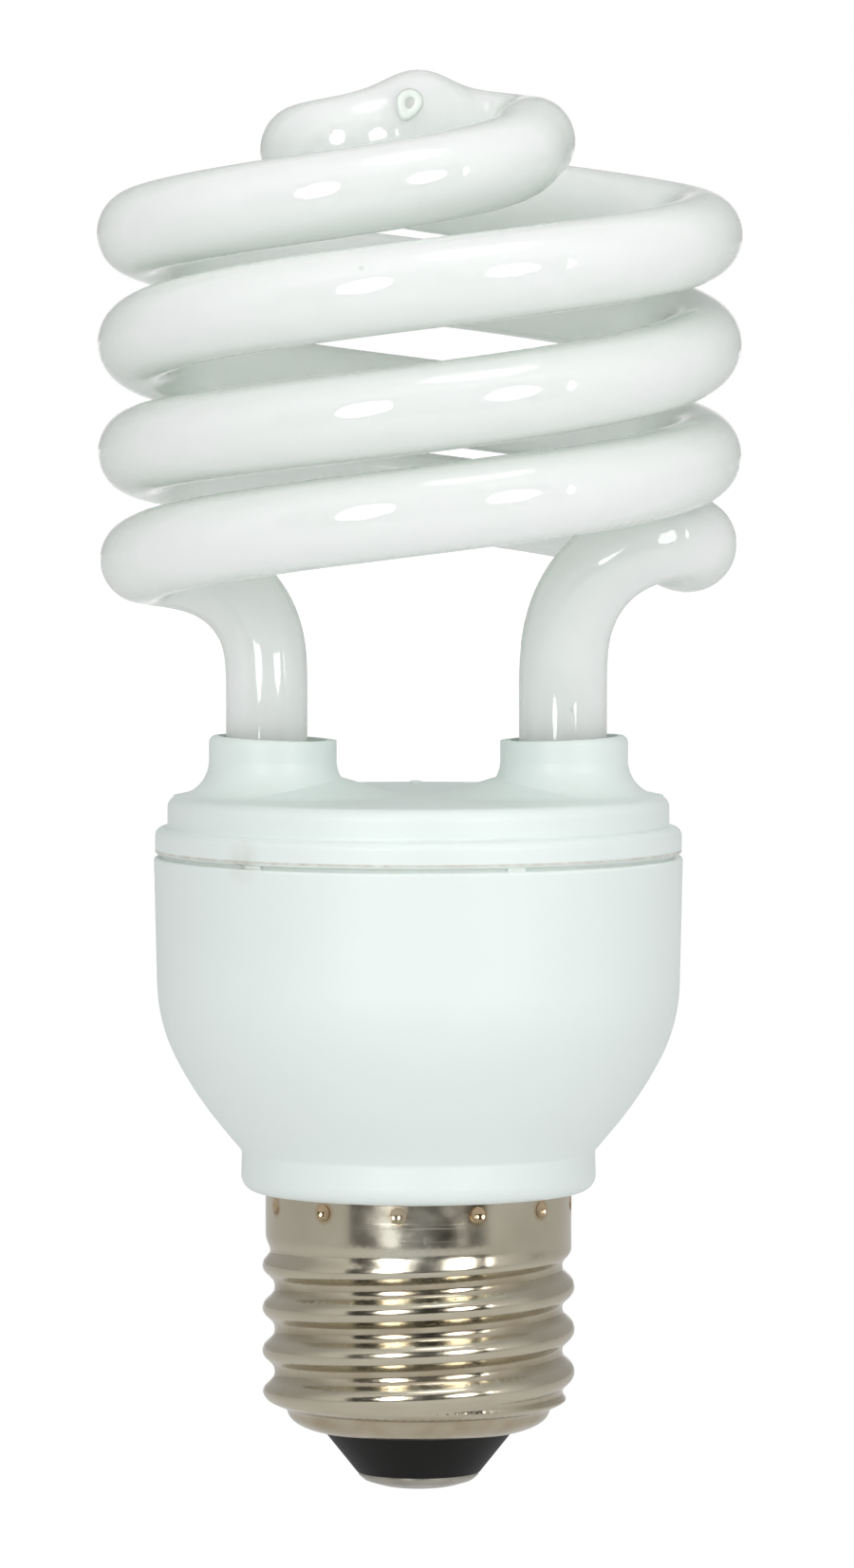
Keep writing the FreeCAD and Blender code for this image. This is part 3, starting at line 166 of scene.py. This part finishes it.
def toward(azimuth, elevation):
    """Direction from the bulb at an azimuth right of the camera and an elevation, in degrees."""
    a, e = math.radians(azimuth), math.radians(elevation)
    return Vector((math.sin(a) * math.cos(e), -math.cos(a) * math.cos(e), math.sin(e)))


def face(thing, place):
    """Put a lamp or card at a place, facing the bulb."""
    thing.location = place
    thing.rotation_euler = (LAMP_TARGET - place).to_track_quat("-Z", "Y").to_euler()
    bpy.context.scene.collection.objects.link(thing)


def soft_lamp(name, place, width, height, radiance):
    """Oval lamp facing the bulb. Its power is pi times its radiance for each part of its area."""
    area = math.pi / 4 * width * height
    data = bpy.data.lights.new(name, "AREA")
    data.shape = "ELLIPSE"
    data.size, data.size_y = width, height
    data.energy = radiance * math.pi * area
    lamp = bpy.data.objects.new(name, data)
    face(lamp, place)
    return lamp


for name, (azimuth, elevation, distance, width, height, fill, shine) in LAMPS.items():
    way = toward(azimuth, elevation)
    place = LAMP_TARGET + way * distance
    fill_place = place + way * FILL_BEHIND
    soft_lamp(name + "_fill", fill_place, width, height, fill).visible_glossy = False
    soft_lamp(name + "_shine", place, width, height, shine).visible_diffuse = False
    print(name, "at", [round(c, 2) for c in place])

# %% [markdown]
# ## Floor and dark card
# The bulb is held by its cap, so the floor lies well below it. Its paper has a little glow of its
# own for the camera, and for reflections only where it lies far behind the bulb. A dark card
# behind the lamps, which nothing but reflections can see, gives the metal its dark band.

# %% Floor
FLOOR_DROP = 0.3
FLOOR_SIZE = 40
FLOOR_LIFT = 0.45
# Where the floor starts to glow for reflections and does so in full, counted back from the bulb
# less three times the way to the side
BACK_START, BACK_FULL = 0.5, 3.0
SIDE_WEIGHT = 3.0


def flat_sheet(name, width, depth):
    """Sheet on the ground plane, as a new object that isn't part of the bulb."""
    bm = bmesh.new()
    bmesh.ops.create_grid(bm, x_segments=1, y_segments=1, size=0.5)
    bmesh.ops.scale(bm, vec=(width, depth, 1), verts=bm.verts)
    mesh = bpy.data.meshes.new(name)
    bm.to_mesh(mesh)
    bm.free()
    sheet = bpy.data.objects.new(name, mesh)
    return sheet


floor = flat_sheet("floor", FLOOR_SIZE, FLOOR_SIZE)
floor.location = (0, 0, -FLOOR_DROP)
bpy.context.scene.collection.objects.link(floor)
paper, tree, shader, place = finish("white_paper", Base_Color=linear("F8F8F8"), Roughness=0.9)
ray = add(tree, "LightPath").outputs
seen = add(tree, "Math", {0: ray["Is Camera Ray"], 1: ray["Is Transmission Ray"]},
           operation="ADD").outputs[0]
axes = add(tree, "SeparateXYZ", {0: place}).outputs
beside = add(tree, "Math", {0: axes["X"]}, operation="ABSOLUTE").outputs[0]
beside = add(tree, "Math", {0: beside, 1: SIDE_WEIGHT}, operation="MULTIPLY").outputs[0]
back = add(tree, "Math", {0: axes["Y"], 1: beside}, operation="SUBTRACT").outputs[0]
back = add(tree, "MapRange", {"Value": back, "From Min": BACK_START, "From Max": BACK_FULL})
back = add(tree, "Math", {0: ray["Is Glossy Ray"], 1: back.outputs["Result"]},
           operation="MULTIPLY").outputs[0]
seen = add(tree, "Math", {0: seen, 1: back}, operation="ADD", use_clamp=True).outputs[0]
lift = add(tree, "Math", {0: seen, 1: FLOOR_LIFT}, operation="MULTIPLY").outputs[0]
glow = add(tree, "Emission", {"Color": linear("FFFFFF"), "Strength": lift}).outputs[0]
both = add(tree, "AddShader", {0: shader.outputs[0], 1: glow}).outputs[0]
tree.links.new(both, tree.nodes["Material Output"].inputs["Surface"])
floor.data.materials.append(paper)
print("floor lies", FLOOR_DROP, "m below the cap")

# %% Dark card
CARD_DISTANCE = 1.5
CARD_HEIGHT = 0.3
CARD_SIZE = (4.2, 2.0)
card = flat_sheet("dark_card", *CARD_SIZE)
card_finish = finish("black_card", Base_Color=linear("2A2A28"), Roughness=1.0)
card.data.materials.append(card_finish[0])
face(card, Vector((0, -CARD_DISTANCE, CARD_HEIGHT)))
for kind in ("camera", "diffuse", "shadow", "transmission", "volume_scatter"):
    setattr(card, "visible_" + kind, False)
print("dark card stands", CARD_DISTANCE, "m in front")

# %% [markdown]
# ## Coated glass
# The tube is drawn from clear glass and coated with white phosphor on the inside. So it has two
# surfaces: a matt, faintly green-white powder, and over it a clear gloss that shows every lamp as
# a crisp streak. A Principled shader with a coat layer gives just that. Light also spreads
# through the powder and the hollow tube, so its shadows are soft. Where the tube turns away from
# the camera, its colour is painted a greenish grey: painted shade round the edge of every turn,
# standing in partly for the clear wall seen edge on.

# %% Coated glass
POWDER_SIZE = 5.556 * MM
LIGHT_SPREAD = 12 * MM
# Dark specks in the powder, at most one in each cell of a pattern, with sizes as shares of it
SPECK_CELL = 4.545 * MM
SPECK_CORE, SPECK_EDGE = 0.03, 0.07
SPECK_SHARE = 0.3
CELLS_WITHOUT = 0.8
# How far the glass turns away from the camera where the painted edge shade starts, and where it is
# strongest
WALL_SHADE_START, WALL_SHADE_FULL = 0.5, 0.95
WALL_SHADE_SHARE = 0.75
coated_glass, tree, shader, place = finish(
    "phosphor_coated_glass", Roughness=0.6, Coat_Weight=1.0, Coat_Roughness=0.02, Coat_IOR=1.5,
    Specular_IOR_Level=0.0, Subsurface_Weight=1.0, Subsurface_Radius=(LIGHT_SPREAD,) * 3,
    Subsurface_Scale=1.0)
powder = add(tree, "TexNoise", {"Vector": place, "Scale": 1 / POWDER_SIZE, "Detail": 4})
tone = add(tree, "Mix", {SHARE: powder.outputs["Fac"], FIRST: linear("ECF5EE"),
                         SECOND: linear("F2FAF4")}, data_type="RGBA").outputs[MIXED]
dust = add(tree, "TexVoronoi", {"Vector": place, "Scale": 1 / SPECK_CELL}).outputs
speck = add(tree, "MapRange", {"Value": dust["Distance"], "From Min": SPECK_CORE,
                               "From Max": SPECK_EDGE, "To Min": SPECK_SHARE, "To Max": 0.0})
chance = add(tree, "SeparateColor", {0: dust["Color"]}).outputs["Red"]
chosen = add(tree, "Math", {0: chance, 1: CELLS_WITHOUT}, operation="GREATER_THAN").outputs[0]
speck = add(tree, "Math", {0: speck.outputs["Result"], 1: chosen}, operation="MULTIPLY").outputs[0]
tone = add(tree, "Mix", {SHARE: speck, FIRST: tone, SECOND: linear("8C8F8A")},
           data_type="RGBA").outputs[MIXED]
# Painted shade: the colour turns greenish grey as the surface turns away from the camera
facing = add(tree, "LayerWeight", {"Blend": 0.5}).outputs["Facing"]
wall_shade = add(tree, "MapRange", {"Value": facing, "From Min": WALL_SHADE_START, "From Max": WALL_SHADE_FULL,
                              "To Min": 0.0, "To Max": WALL_SHADE_SHARE}).outputs["Result"]
tone = add(tree, "Mix", {SHARE: wall_shade, FIRST: tone, SECOND: linear("AEB6AD")},
           data_type="RGBA").outputs[MIXED]
tree.links.new(tone, shader.inputs["Base Color"])
print("coated glass has", len(tree.nodes), "nodes")

# %% [markdown]
# ## Moulded plastic
# The housing and the tube holder are injection moulded in a heat-proof plastic. Its skin is
# satin, with a very fine grain. The seam between the two has gathered dirt in its groove and
# along the edge above, and beside one of the small bridges across it is a faint brownish stain.

# %% Plastic and its dirt
FLOW_SIZE = 11.11 * MM
# Dirt is patchy: this much of it is left where it is thinnest
SMUT_SIZE = 1.111 * MM
SMUT_LEAST = 0.4
# Height of a line of dirt, how far from it the dirt is full and where it ends, share and colour
DIRT_LINES = (
    (53.73 * MM, 0.12 * MM, 0.3 * MM, 0.1, "C0A98C"),
    (54.15 * MM, 0.06 * MM, 0.17 * MM, 0.6, "B4AA98"),
)
STAIN_CENTRE = Vector((-14.6, -17.0, 54.2)) * MM
STAIN_FULL, STAIN_END = 0.6 * MM, 2.2 * MM
STAIN_SHARE = 0.2
white_plastic, tree, shader, place = finish("moulded_pbt", Roughness=0.45, IOR=1.5)
flow = add(tree, "TexNoise", {"Vector": place, "Scale": 1 / FLOW_SIZE, "Detail": 3})
tone = add(tree, "Mix", {SHARE: flow.outputs["Fac"], FIRST: linear("E8F1EE"),
                         SECOND: linear("ECF5F2")}, data_type="RGBA").outputs[MIXED]
smut = add(tree, "TexNoise", {"Vector": place, "Scale": 1 / SMUT_SIZE, "Detail": 4})
smut = add(tree, "MapRange", {"Value": smut.outputs["Fac"], "From Min": 0.3, "From Max": 0.6,
                              "To Min": SMUT_LEAST, "To Max": 1.0}).outputs["Result"]
height = add(tree, "SeparateXYZ", {0: place}).outputs["Z"]
for line, full, end, share, colour in DIRT_LINES:
    off = add(tree, "Math", {0: height, 1: line}, operation="SUBTRACT").outputs[0]
    off = add(tree, "Math", {0: off}, operation="ABSOLUTE").outputs[0]
    dirt = add(tree, "MapRange", {"Value": off, "From Min": full, "From Max": end,
                                  "To Min": share, "To Max": 0.0}).outputs["Result"]
    dirt = add(tree, "Math", {0: dirt, 1: smut}, operation="MULTIPLY").outputs[0]
    tone = add(tree, "Mix", {SHARE: dirt, FIRST: tone, SECOND: linear(colour)},
               data_type="RGBA").outputs[MIXED]
away = add(tree, "VectorMath", {0: place, 1: STAIN_CENTRE}, operation="DISTANCE").outputs["Value"]
stain = add(tree, "MapRange", {"Value": away, "From Min": STAIN_FULL, "From Max": STAIN_END,
                               "To Min": STAIN_SHARE, "To Max": 0.0}).outputs["Result"]
stain = add(tree, "Math", {0: stain, 1: smut}, operation="MULTIPLY").outputs[0]
tone = add(tree, "Mix", {SHARE: stain, FIRST: tone, SECOND: linear("ABA391")},
           data_type="RGBA").outputs[MIXED]
tree.links.new(tone, shader.inputs["Base Color"])
print("lines of dirt at the seam:", len(DIRT_LINES))

# %% Mould grain
# The real grain is finer than a pixel, so it is drawn at a quarter of a millimetre
GRAIN_SIZE = 0.25 * MM
GRAIN_STRENGTH = 0.05
BUMP_HEIGHT = 0.05 * MM
grain = add(tree, "TexNoise", {"Vector": place, "Scale": 1 / GRAIN_SIZE, "Detail": 2})
bump = add(tree, "Bump", {"Height": grain.outputs["Fac"], "Strength": GRAIN_STRENGTH,
                          "Distance": BUMP_HEIGHT})
tree.links.new(bump.outputs[0], shader.inputs["Normal"])
print("white plastic has", len(tree.nodes), "nodes")

# %% [markdown]
# ## Nickel-plated shell
# The screw shell is thin brass, nickel plated and then rolled. The plate is silvery with a warm
# cast, and browner where the roots of the thread have kept their dirt. The roots are told by
# their smaller radius.

# %% Nickel plate
MOTTLE_SIZE = 3.846 * MM
ROOT_RADIUS, ROOT_END = 12.2 * MM, 12.7 * MM
# Share of brown in the cleanest and in the dirtiest root
BROWN_LEAST, BROWN_MOST = 0.15, 0.7
nickel, tree, shader, place = finish("nickel_plated_brass", Metallic=1.0)
mottle = add(tree, "TexNoise", {"Vector": place, "Scale": 1 / MOTTLE_SIZE, "Detail": 6})
mottle = mottle.outputs["Fac"]
tone = add(tree, "Mix", {SHARE: mottle, FIRST: linear("B9B09B"), SECOND: linear("CDC6B4")},
           data_type="RGBA").outputs[MIXED]
axes = add(tree, "SeparateXYZ", {0: place}).outputs
flat = add(tree, "CombineXYZ", {"X": axes["X"], "Y": axes["Y"]}).outputs[0]
radius = add(tree, "VectorMath", {0: flat}, operation="LENGTH").outputs["Value"]
in_root = add(tree, "MapRange", {"Value": radius, "From Min": ROOT_RADIUS, "From Max": ROOT_END,
                                 "To Min": 1.0, "To Max": 0.0}).outputs["Result"]
dirty = add(tree, "MapRange", {"Value": mottle, "From Min": 0.35, "From Max": 0.6,
                               "To Min": BROWN_LEAST, "To Max": BROWN_MOST}).outputs["Result"]
brown = add(tree, "Math", {0: in_root, 1: dirty}, operation="MULTIPLY").outputs[0]
tone = add(tree, "Mix", {SHARE: brown, FIRST: tone, SECOND: linear("9E8F74")},
           data_type="RGBA").outputs[MIXED]
print("roots are brown below a radius of", round(ROOT_END / MM, 2), "mm")

# %% [markdown]
# ## Dimples and haze
# Twelve dimples hold the shell on the neck, and each has a warm brown rim. They repeat round the
# axis, so the angle is folded to one of them before the distance from it is measured. Handling
# has left a cloud of fine scratches on the front of the neck, where the mirror turns hazy. There
# its colour is also painted a lighter, cooler grey, a painted reflection.

# %% Dimple rims
NECK_RADIUS = 12.96 * MM
DIMPLE_HEIGHT = 24.33 * MM
DIMPLE_START = math.radians(-97.6)
DIMPLE_COUNT = 12
RIM_FULL, RIM_END = 0.7 * MM, 1.1 * MM
RIM_SHARE = 0.6
half_step = math.pi / DIMPLE_COUNT
turn = add(tree, "Math", {0: axes["Y"], 1: axes["X"]}, operation="ARCTAN2").outputs[0]
turn = add(tree, "Math", {0: turn, 1: DIMPLE_START}, operation="SUBTRACT").outputs[0]
turn = add(tree, "Math", {0: turn, 1: -half_step, 2: half_step}, operation="WRAP").outputs[0]
across = add(tree, "Math", {0: turn, 1: NECK_RADIUS}, operation="MULTIPLY").outputs[0]
above = add(tree, "Math", {0: axes["Z"], 1: DIMPLE_HEIGHT}, operation="SUBTRACT").outputs[0]
around = add(tree, "CombineXYZ", {"X": across, "Y": above}).outputs[0]
around = add(tree, "VectorMath", {0: around}, operation="LENGTH").outputs["Value"]
rim = add(tree, "MapRange", {"Value": around, "From Min": RIM_FULL, "From Max": RIM_END,
                             "To Min": RIM_SHARE, "To Max": 0.0}).outputs["Result"]
tone = add(tree, "Mix", {SHARE: rim, FIRST: tone, SECOND: linear("A8885A")},
           data_type="RGBA").outputs[MIXED]
print("a dimple every", 360 // DIMPLE_COUNT, "degrees")

# %% Haze
HAZE_AND_REFLECTION_CENTRE = Vector((-0.5, -13.0, 22.5)) * MM
HAZE_AND_REFLECTION_FULL, HAZE_AND_REFLECTION_END = 1 * MM, 5 * MM
HAZE_AND_REFLECTION_SHARE = 0.7
# Roughness of the plate where it is best and worst polished, and what the haze adds to it
POLISH_BEST, POLISH_WORST = 0.12, 0.24
HAZE_ROUGHNESS = 0.3
away = add(tree, "VectorMath", {0: place, 1: HAZE_AND_REFLECTION_CENTRE}, operation="DISTANCE").outputs["Value"]
near = add(tree, "MapRange", {"Value": away, "From Min": HAZE_AND_REFLECTION_FULL, "From Max": HAZE_AND_REFLECTION_END,
                              "To Min": HAZE_AND_REFLECTION_SHARE, "To Max": 0.0}).outputs["Result"]
cloud = add(tree, "MapRange", {"Value": mottle, "From Min": 0.3, "From Max": 0.75})
haze_and_reflection = add(tree, "Math", {0: near, 1: cloud.outputs["Result"]}, operation="MULTIPLY").outputs[0]
# Painted reflection: in the haze the colour turns a lighter, cooler grey, besides its added
# roughness
tone = add(tree, "Mix", {SHARE: haze_and_reflection, FIRST: tone, SECOND: linear("BFC6C2")},
           data_type="RGBA").outputs[MIXED]
tree.links.new(tone, shader.inputs["Base Color"])
polish = add(tree, "MapRange", {"Value": mottle, "From Min": 0.3, "From Max": 0.7,
                                "To Min": POLISH_BEST, "To Max": POLISH_WORST})
rough = add(tree, "MapRange", {"Value": haze_and_reflection, "To Min": 0.0, "To Max": HAZE_ROUGHNESS})
rough = add(tree, "Math", {0: polish.outputs["Result"], 1: rough.outputs["Result"]},
            operation="ADD").outputs[0]
tree.links.new(rough, shader.inputs["Roughness"])
print("haze ends", round(HAZE_AND_REFLECTION_END / MM, 1), "mm from its middle")

# %% Scratches
# Noise drawn out along a slant, of which only the narrow ridges are used
SCRATCH_LENGTH, SCRATCH_WIDTH = 25 * MM, 0.4 * MM
SCRATCH_SLANT = math.radians(35)
SCRATCH_STRENGTH = 0.2
RIDGE_START, RIDGE_TOP = 0.62, 0.7
slant = add(tree, "Mapping", {
    "Vector": place, "Rotation": (0.0, SCRATCH_SLANT, 0.0),
    "Scale": (1 / SCRATCH_LENGTH, 1 / SCRATCH_LENGTH, 1 / SCRATCH_WIDTH)}).outputs[0]
scratch = add(tree, "TexNoise", {"Vector": slant, "Scale": 1.0, "Detail": 2}).outputs["Fac"]
scratch = add(tree, "MapRange", {"Value": scratch, "From Min": RIDGE_START,
                                 "From Max": RIDGE_TOP})
scratch = add(tree, "Math", {0: scratch.outputs["Result"], 1: near}, operation="MULTIPLY")
bump = add(tree, "Bump", {"Height": scratch.outputs[0], "Strength": SCRATCH_STRENGTH,
                          "Distance": BUMP_HEIGHT})
tree.links.new(bump.outputs[0], shader.inputs["Normal"])
print("nickel plate has", len(tree.nodes), "nodes")

# %% [markdown]
# ## Cap foot
# The mouth of the shell is filled with a button of black glass, and a dome of solder closes it.
# The glass was pressed and is only half shiny. The solder froze in soft grey clouds.

# %% Black glass and solder
GLASS_CLOUD = 2.0 * MM
SOLDER_CLOUD = 2.5 * MM
black_glass, tree, shader, place = finish(
    "black_cap_glass", Roughness=0.5, Specular_IOR_Level=0.18)
cloud = add(tree, "TexNoise", {"Vector": place, "Scale": 1 / GLASS_CLOUD, "Detail": 4})
tone = add(tree, "Mix", {SHARE: cloud.outputs["Fac"], FIRST: linear("060605"),
                         SECOND: linear("121210")}, data_type="RGBA").outputs[MIXED]
tree.links.new(tone, shader.inputs["Base Color"])

solder, tree, shader, place = finish("tin_solder", Metallic=1.0, Roughness=0.3)
cloud = add(tree, "TexNoise", {"Vector": place, "Scale": 1 / SOLDER_CLOUD, "Detail": 3})
tone = add(tree, "Mix", {SHARE: cloud.outputs["Fac"], FIRST: linear("8C887E"),
                         SECOND: linear("BCB8AE")}, data_type="RGBA").outputs[MIXED]
tree.links.new(tone, shader.inputs["Base Color"])
print("finishes so far:", len(bpy.data.materials))

# %% [markdown]
# ## Sealed tip
# The tube was pumped out through a thin pipe at the top of its crown, and the pipe was then melted
# off. It leaves a flat drop of glass with a raised rim and a grey hollow. The drop is a small
# profile spun round an axis, drawn out to a point below, and then laid on the tube: each of its
# points is moved back onto the tube's own surface, so it follows the curve beneath it.

# %% Glass of the drop
MELT_SIZE = 0.6667 * MM
# So small a drop has no depth for light to spread in
drop_glass = coated_glass.copy()
drop_glass.name = "melted_glass_drop"
drop_shader = drop_glass.node_tree.nodes["Principled BSDF"]
drop_shader.inputs["Subsurface Weight"].default_value = 0
hollow_glass, tree, shader, place = finish(
    "melted_glass_hollow", Roughness=0.35, Coat_Weight=1.0, Coat_Roughness=0.05)
melt = add(tree, "TexNoise", {"Vector": place, "Scale": 1 / MELT_SIZE, "Detail": 2})
tone = add(tree, "Mix", {SHARE: melt.outputs["Fac"], FIRST: linear("C4C8C2"),
                         SECOND: linear("D4D8D3")}, data_type="RGBA").outputs[MIXED]
tree.links.new(tone, shader.inputs["Base Color"])
print("drop and hollow:", drop_glass.name, hollow_glass.name)

# %% Helpers for a small piece
# Points nearer to each other than this are one point
MERGE_WITHIN = 0.001 * MM


def spun(profile, steps):
    """Closed shape made by spinning a profile of radius and height in millimetres about Z."""
    bm = bmesh.new()
    verts = [bm.verts.new((r * MM, 0, h * MM)) for r, h in profile]
    edges = [bm.edges.new(pair) for pair in zip(verts, verts[1:])]
    bmesh.ops.spin(bm, geom=verts + edges, cent=(0, 0, 0), axis=(0, 0, 1), angle=2 * math.pi,
                   steps=steps, use_merge=True)
    bmesh.ops.remove_doubles(bm, verts=bm.verts, dist=MERGE_WITHIN)
    return bm


def new_piece(name, bm, slot, *materials):
    """Smooth piece from a bmesh, riding on the bulb."""
    bmesh.ops.recalc_face_normals(bm, faces=bm.faces)
    for each in bm.faces:
        each.smooth = True
    mesh = bpy.data.meshes.new(name)
    bm.to_mesh(mesh)
    bm.free()
    for material in materials:
        mesh.materials.append(material)
    piece = bpy.data.objects.new(name, mesh)
    bpy.context.scene.collection.objects.link(piece)
    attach(piece, "root")
    print(name, "has", len(mesh.polygons), "faces")


# %% Sealed tip
# Radius and height in millimetres, from the middle of the hollow out over the rim and underneath
DROP_PROFILE = ((0, 0.07), (0.42, 0.08), (0.55, 0.2), (0.78, 0.27), (1.0, 0.19), (1.18, -0.1),
                (0, -0.15))
DROP_STEPS = 40
DROP_CENTRE = (-0.7 * MM, 117.1 * MM)
DROP_TILT = math.radians(-16)
# Below its middle the drop is longer, and loses a quarter of its width for each millimetre
DROP_STRETCH = 1.5
DROP_TAPER = 0.25
HOLLOW_RADIUS = 0.45 * MM
# Distance from the axis at which a ray starts, well clear of the bulb
CLEAR = 0.1
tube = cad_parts["spiral_tube"]
# A ray finds only what the view layer has taken in
bpy.context.view_layer.update()
bm = spun(DROP_PROFILE, DROP_STEPS)
for each in bm.faces:
    each.material_index = int(each.calc_center_median().xy.length < HOLLOW_RADIUS)
turn_drop = Matrix.Rotation(DROP_TILT, 2)
for vert in bm.verts:
    across, up, height = vert.co
    if up < 0:
        across, up = across * (1 + DROP_TAPER * up / MM), up * DROP_STRETCH
    across, up = turn_drop @ Vector((across, up))
    x, z = DROP_CENTRE[0] + across, DROP_CENTRE[1] + up
    surface = tube.ray_cast(Vector((x, -CLEAR, z)), Vector((0, 1, 0)))[1]
    vert.co = (x, surface.y - height, z)
new_piece("sealed_tip", bm, "coated_glass", drop_glass, hollow_glass)

# %% [markdown]
# ## Gate mark
# The holder was moulded through one point at the back of its plate. The plastic that was snapped
# off there left a low round nub, which shows on the plate's far edge. It is spun too, and a ray
# from above finds the plate that it stands on.

# %% Gate mark
GATE_X, GATE_Y = -0.3 * MM, 17.5 * MM
GATE_PROFILE = ((0, 0.28), (0.4, 0.25), (0.5, 0.15), (0.54, -0.2), (0, -0.2))
GATE_STEPS = 24
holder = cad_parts["tube_holder"]
plate = holder.ray_cast(Vector((GATE_X, GATE_Y, CLEAR)), Vector((0, 0, -1)))[1]
bm = spun(GATE_PROFILE, GATE_STEPS)
bmesh.ops.translate(bm, vec=plate, verts=bm.verts)
new_piece("gate_mark", bm, "white_plastic", white_plastic)

# %% [markdown]
# ## Finishes inside the housing
# The electronics are hidden in the closed bulb, but each part still has its own finish: tinned
# wire and enamelled copper shine, ferrite and cement are dull, and dipped capacitors are glossy.
# They differ in only a few values, so one loop makes them all.

# %% Inside finishes
BUMP_INSIDE = 0.1 * MM
BUMP_STRENGTH = 0.2
# Name: two colours, metallic, roughness, pattern size in millimetres
INSIDE = {
    "tube_cement": ("D8D2C4", "C9C1AF", 0, 0.9, 1.0),
    "board_laminate": ("B9A35E", "A99350", 0, 0.6, 0.8),
    "tinned_wire": ("C4C6C8", "A9ABAD", 1, 0.3, 0.5),
    "can_sleeve": ("23252B", "2E3138", 0, 0.35, 2.0),
    "ferrite": ("2B2A2C", "383639", 0, 0.75, 0.6),
    "bobbin_plastic": ("1F2022", "292A2D", 0, 0.5, 0.8),
    "enamelled_copper": ("B4602E", "8F4720", 1, 0.3, 0.4),
    "black_epoxy": ("1B1B1D", "262629", 0, 0.6, 0.6),
    "red_dipped_epoxy": ("8E2A1E", "A5382A", 0, 0.35, 1.5),
    "orange_dipped_epoxy": ("B5662A", "C4773A", 0, 0.4, 1.5),
    "resistor_enamel": ("C9A878", "B89664", 0, 0.4, 0.8),
    "shrink_sleeve": ("2A2A2C", "363639", 0, 0.55, 1.0),
}
inside = {}
for name, (first, second, metallic, roughness, size) in INSIDE.items():
    material, tree, shader, place = finish(name, Metallic=metallic, Roughness=roughness)
    pattern = add(tree, "TexNoise", {"Vector": place, "Scale": 1 / (size * MM), "Detail": 3})
    pattern = pattern.outputs["Fac"]
    tone = add(tree, "Mix", {SHARE: pattern, FIRST: linear(first), SECOND: linear(second)},
               data_type="RGBA").outputs[MIXED]
    tree.links.new(tone, shader.inputs["Base Color"])
    bump = add(tree, "Bump", {"Height": pattern, "Strength": BUMP_STRENGTH,
                              "Distance": BUMP_INSIDE})
    tree.links.new(bump.outputs[0], shader.inputs["Normal"])
    inside[name] = material
print("finishes inside:", len(inside))

# %% [markdown]
# ## Give every node its finish
# A node's name tells what it is. Where some nodes are the same kind of thing, such as the four
# electrode leads, the start of their names is enough, and the longest start that fits is taken.

# %% Give every node its finish
FINISH_OF = {
    "spiral_tube": coated_glass,
    "tube_holder": white_plastic,
    "ballast_housing": white_plastic,
    "screw_shell": nickel,
    "cap_insulator": black_glass,
    "centre_contact": solder,
    "tube_cement": inside["tube_cement"],
    "circuit_board": inside["board_laminate"],
    "wrap_pins": inside["tinned_wire"],
    "electrode_lead": inside["tinned_wire"],
    "electrolytic_capacitor": inside["can_sleeve"],
    "choke_core": inside["ferrite"],
    "choke_bobbin": inside["bobbin_plastic"],
    "choke_winding": inside["enamelled_copper"],
    "toroid_core": inside["ferrite"],
    "toroid_windings": inside["enamelled_copper"],
    "transistor": inside["black_epoxy"],
    "resonant_capacitor": inside["red_dipped_epoxy"],
    "coupling_capacitor": inside["red_dipped_epoxy"],
    "start_capacitor": inside["orange_dipped_epoxy"],
    "filter_inductor_core": inside["ferrite"],
    "filter_inductor_winding": inside["enamelled_copper"],
    "rectifier_diodes": inside["black_epoxy"],
    "trigger_diode": inside["black_epoxy"],
    "resistors": inside["resistor_enamel"],
    "fusible_resistor": inside["resistor_enamel"],
    "fuse_sleeve": inside["shrink_sleeve"],
    "shell_lead": inside["tinned_wire"],
}
for name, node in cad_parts.items():
    start = max((key for key in FINISH_OF if name.startswith(key)), key=len)
    node.data.materials.clear()
    node.data.materials.append(FINISH_OF[start])
print("nodes with a finish:", len(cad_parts))

# %% [markdown]
# ## Colour management
# The Standard view shows a colour as it is written.

# %% Colour management
bpy.context.scene.view_settings.view_transform = "Standard"
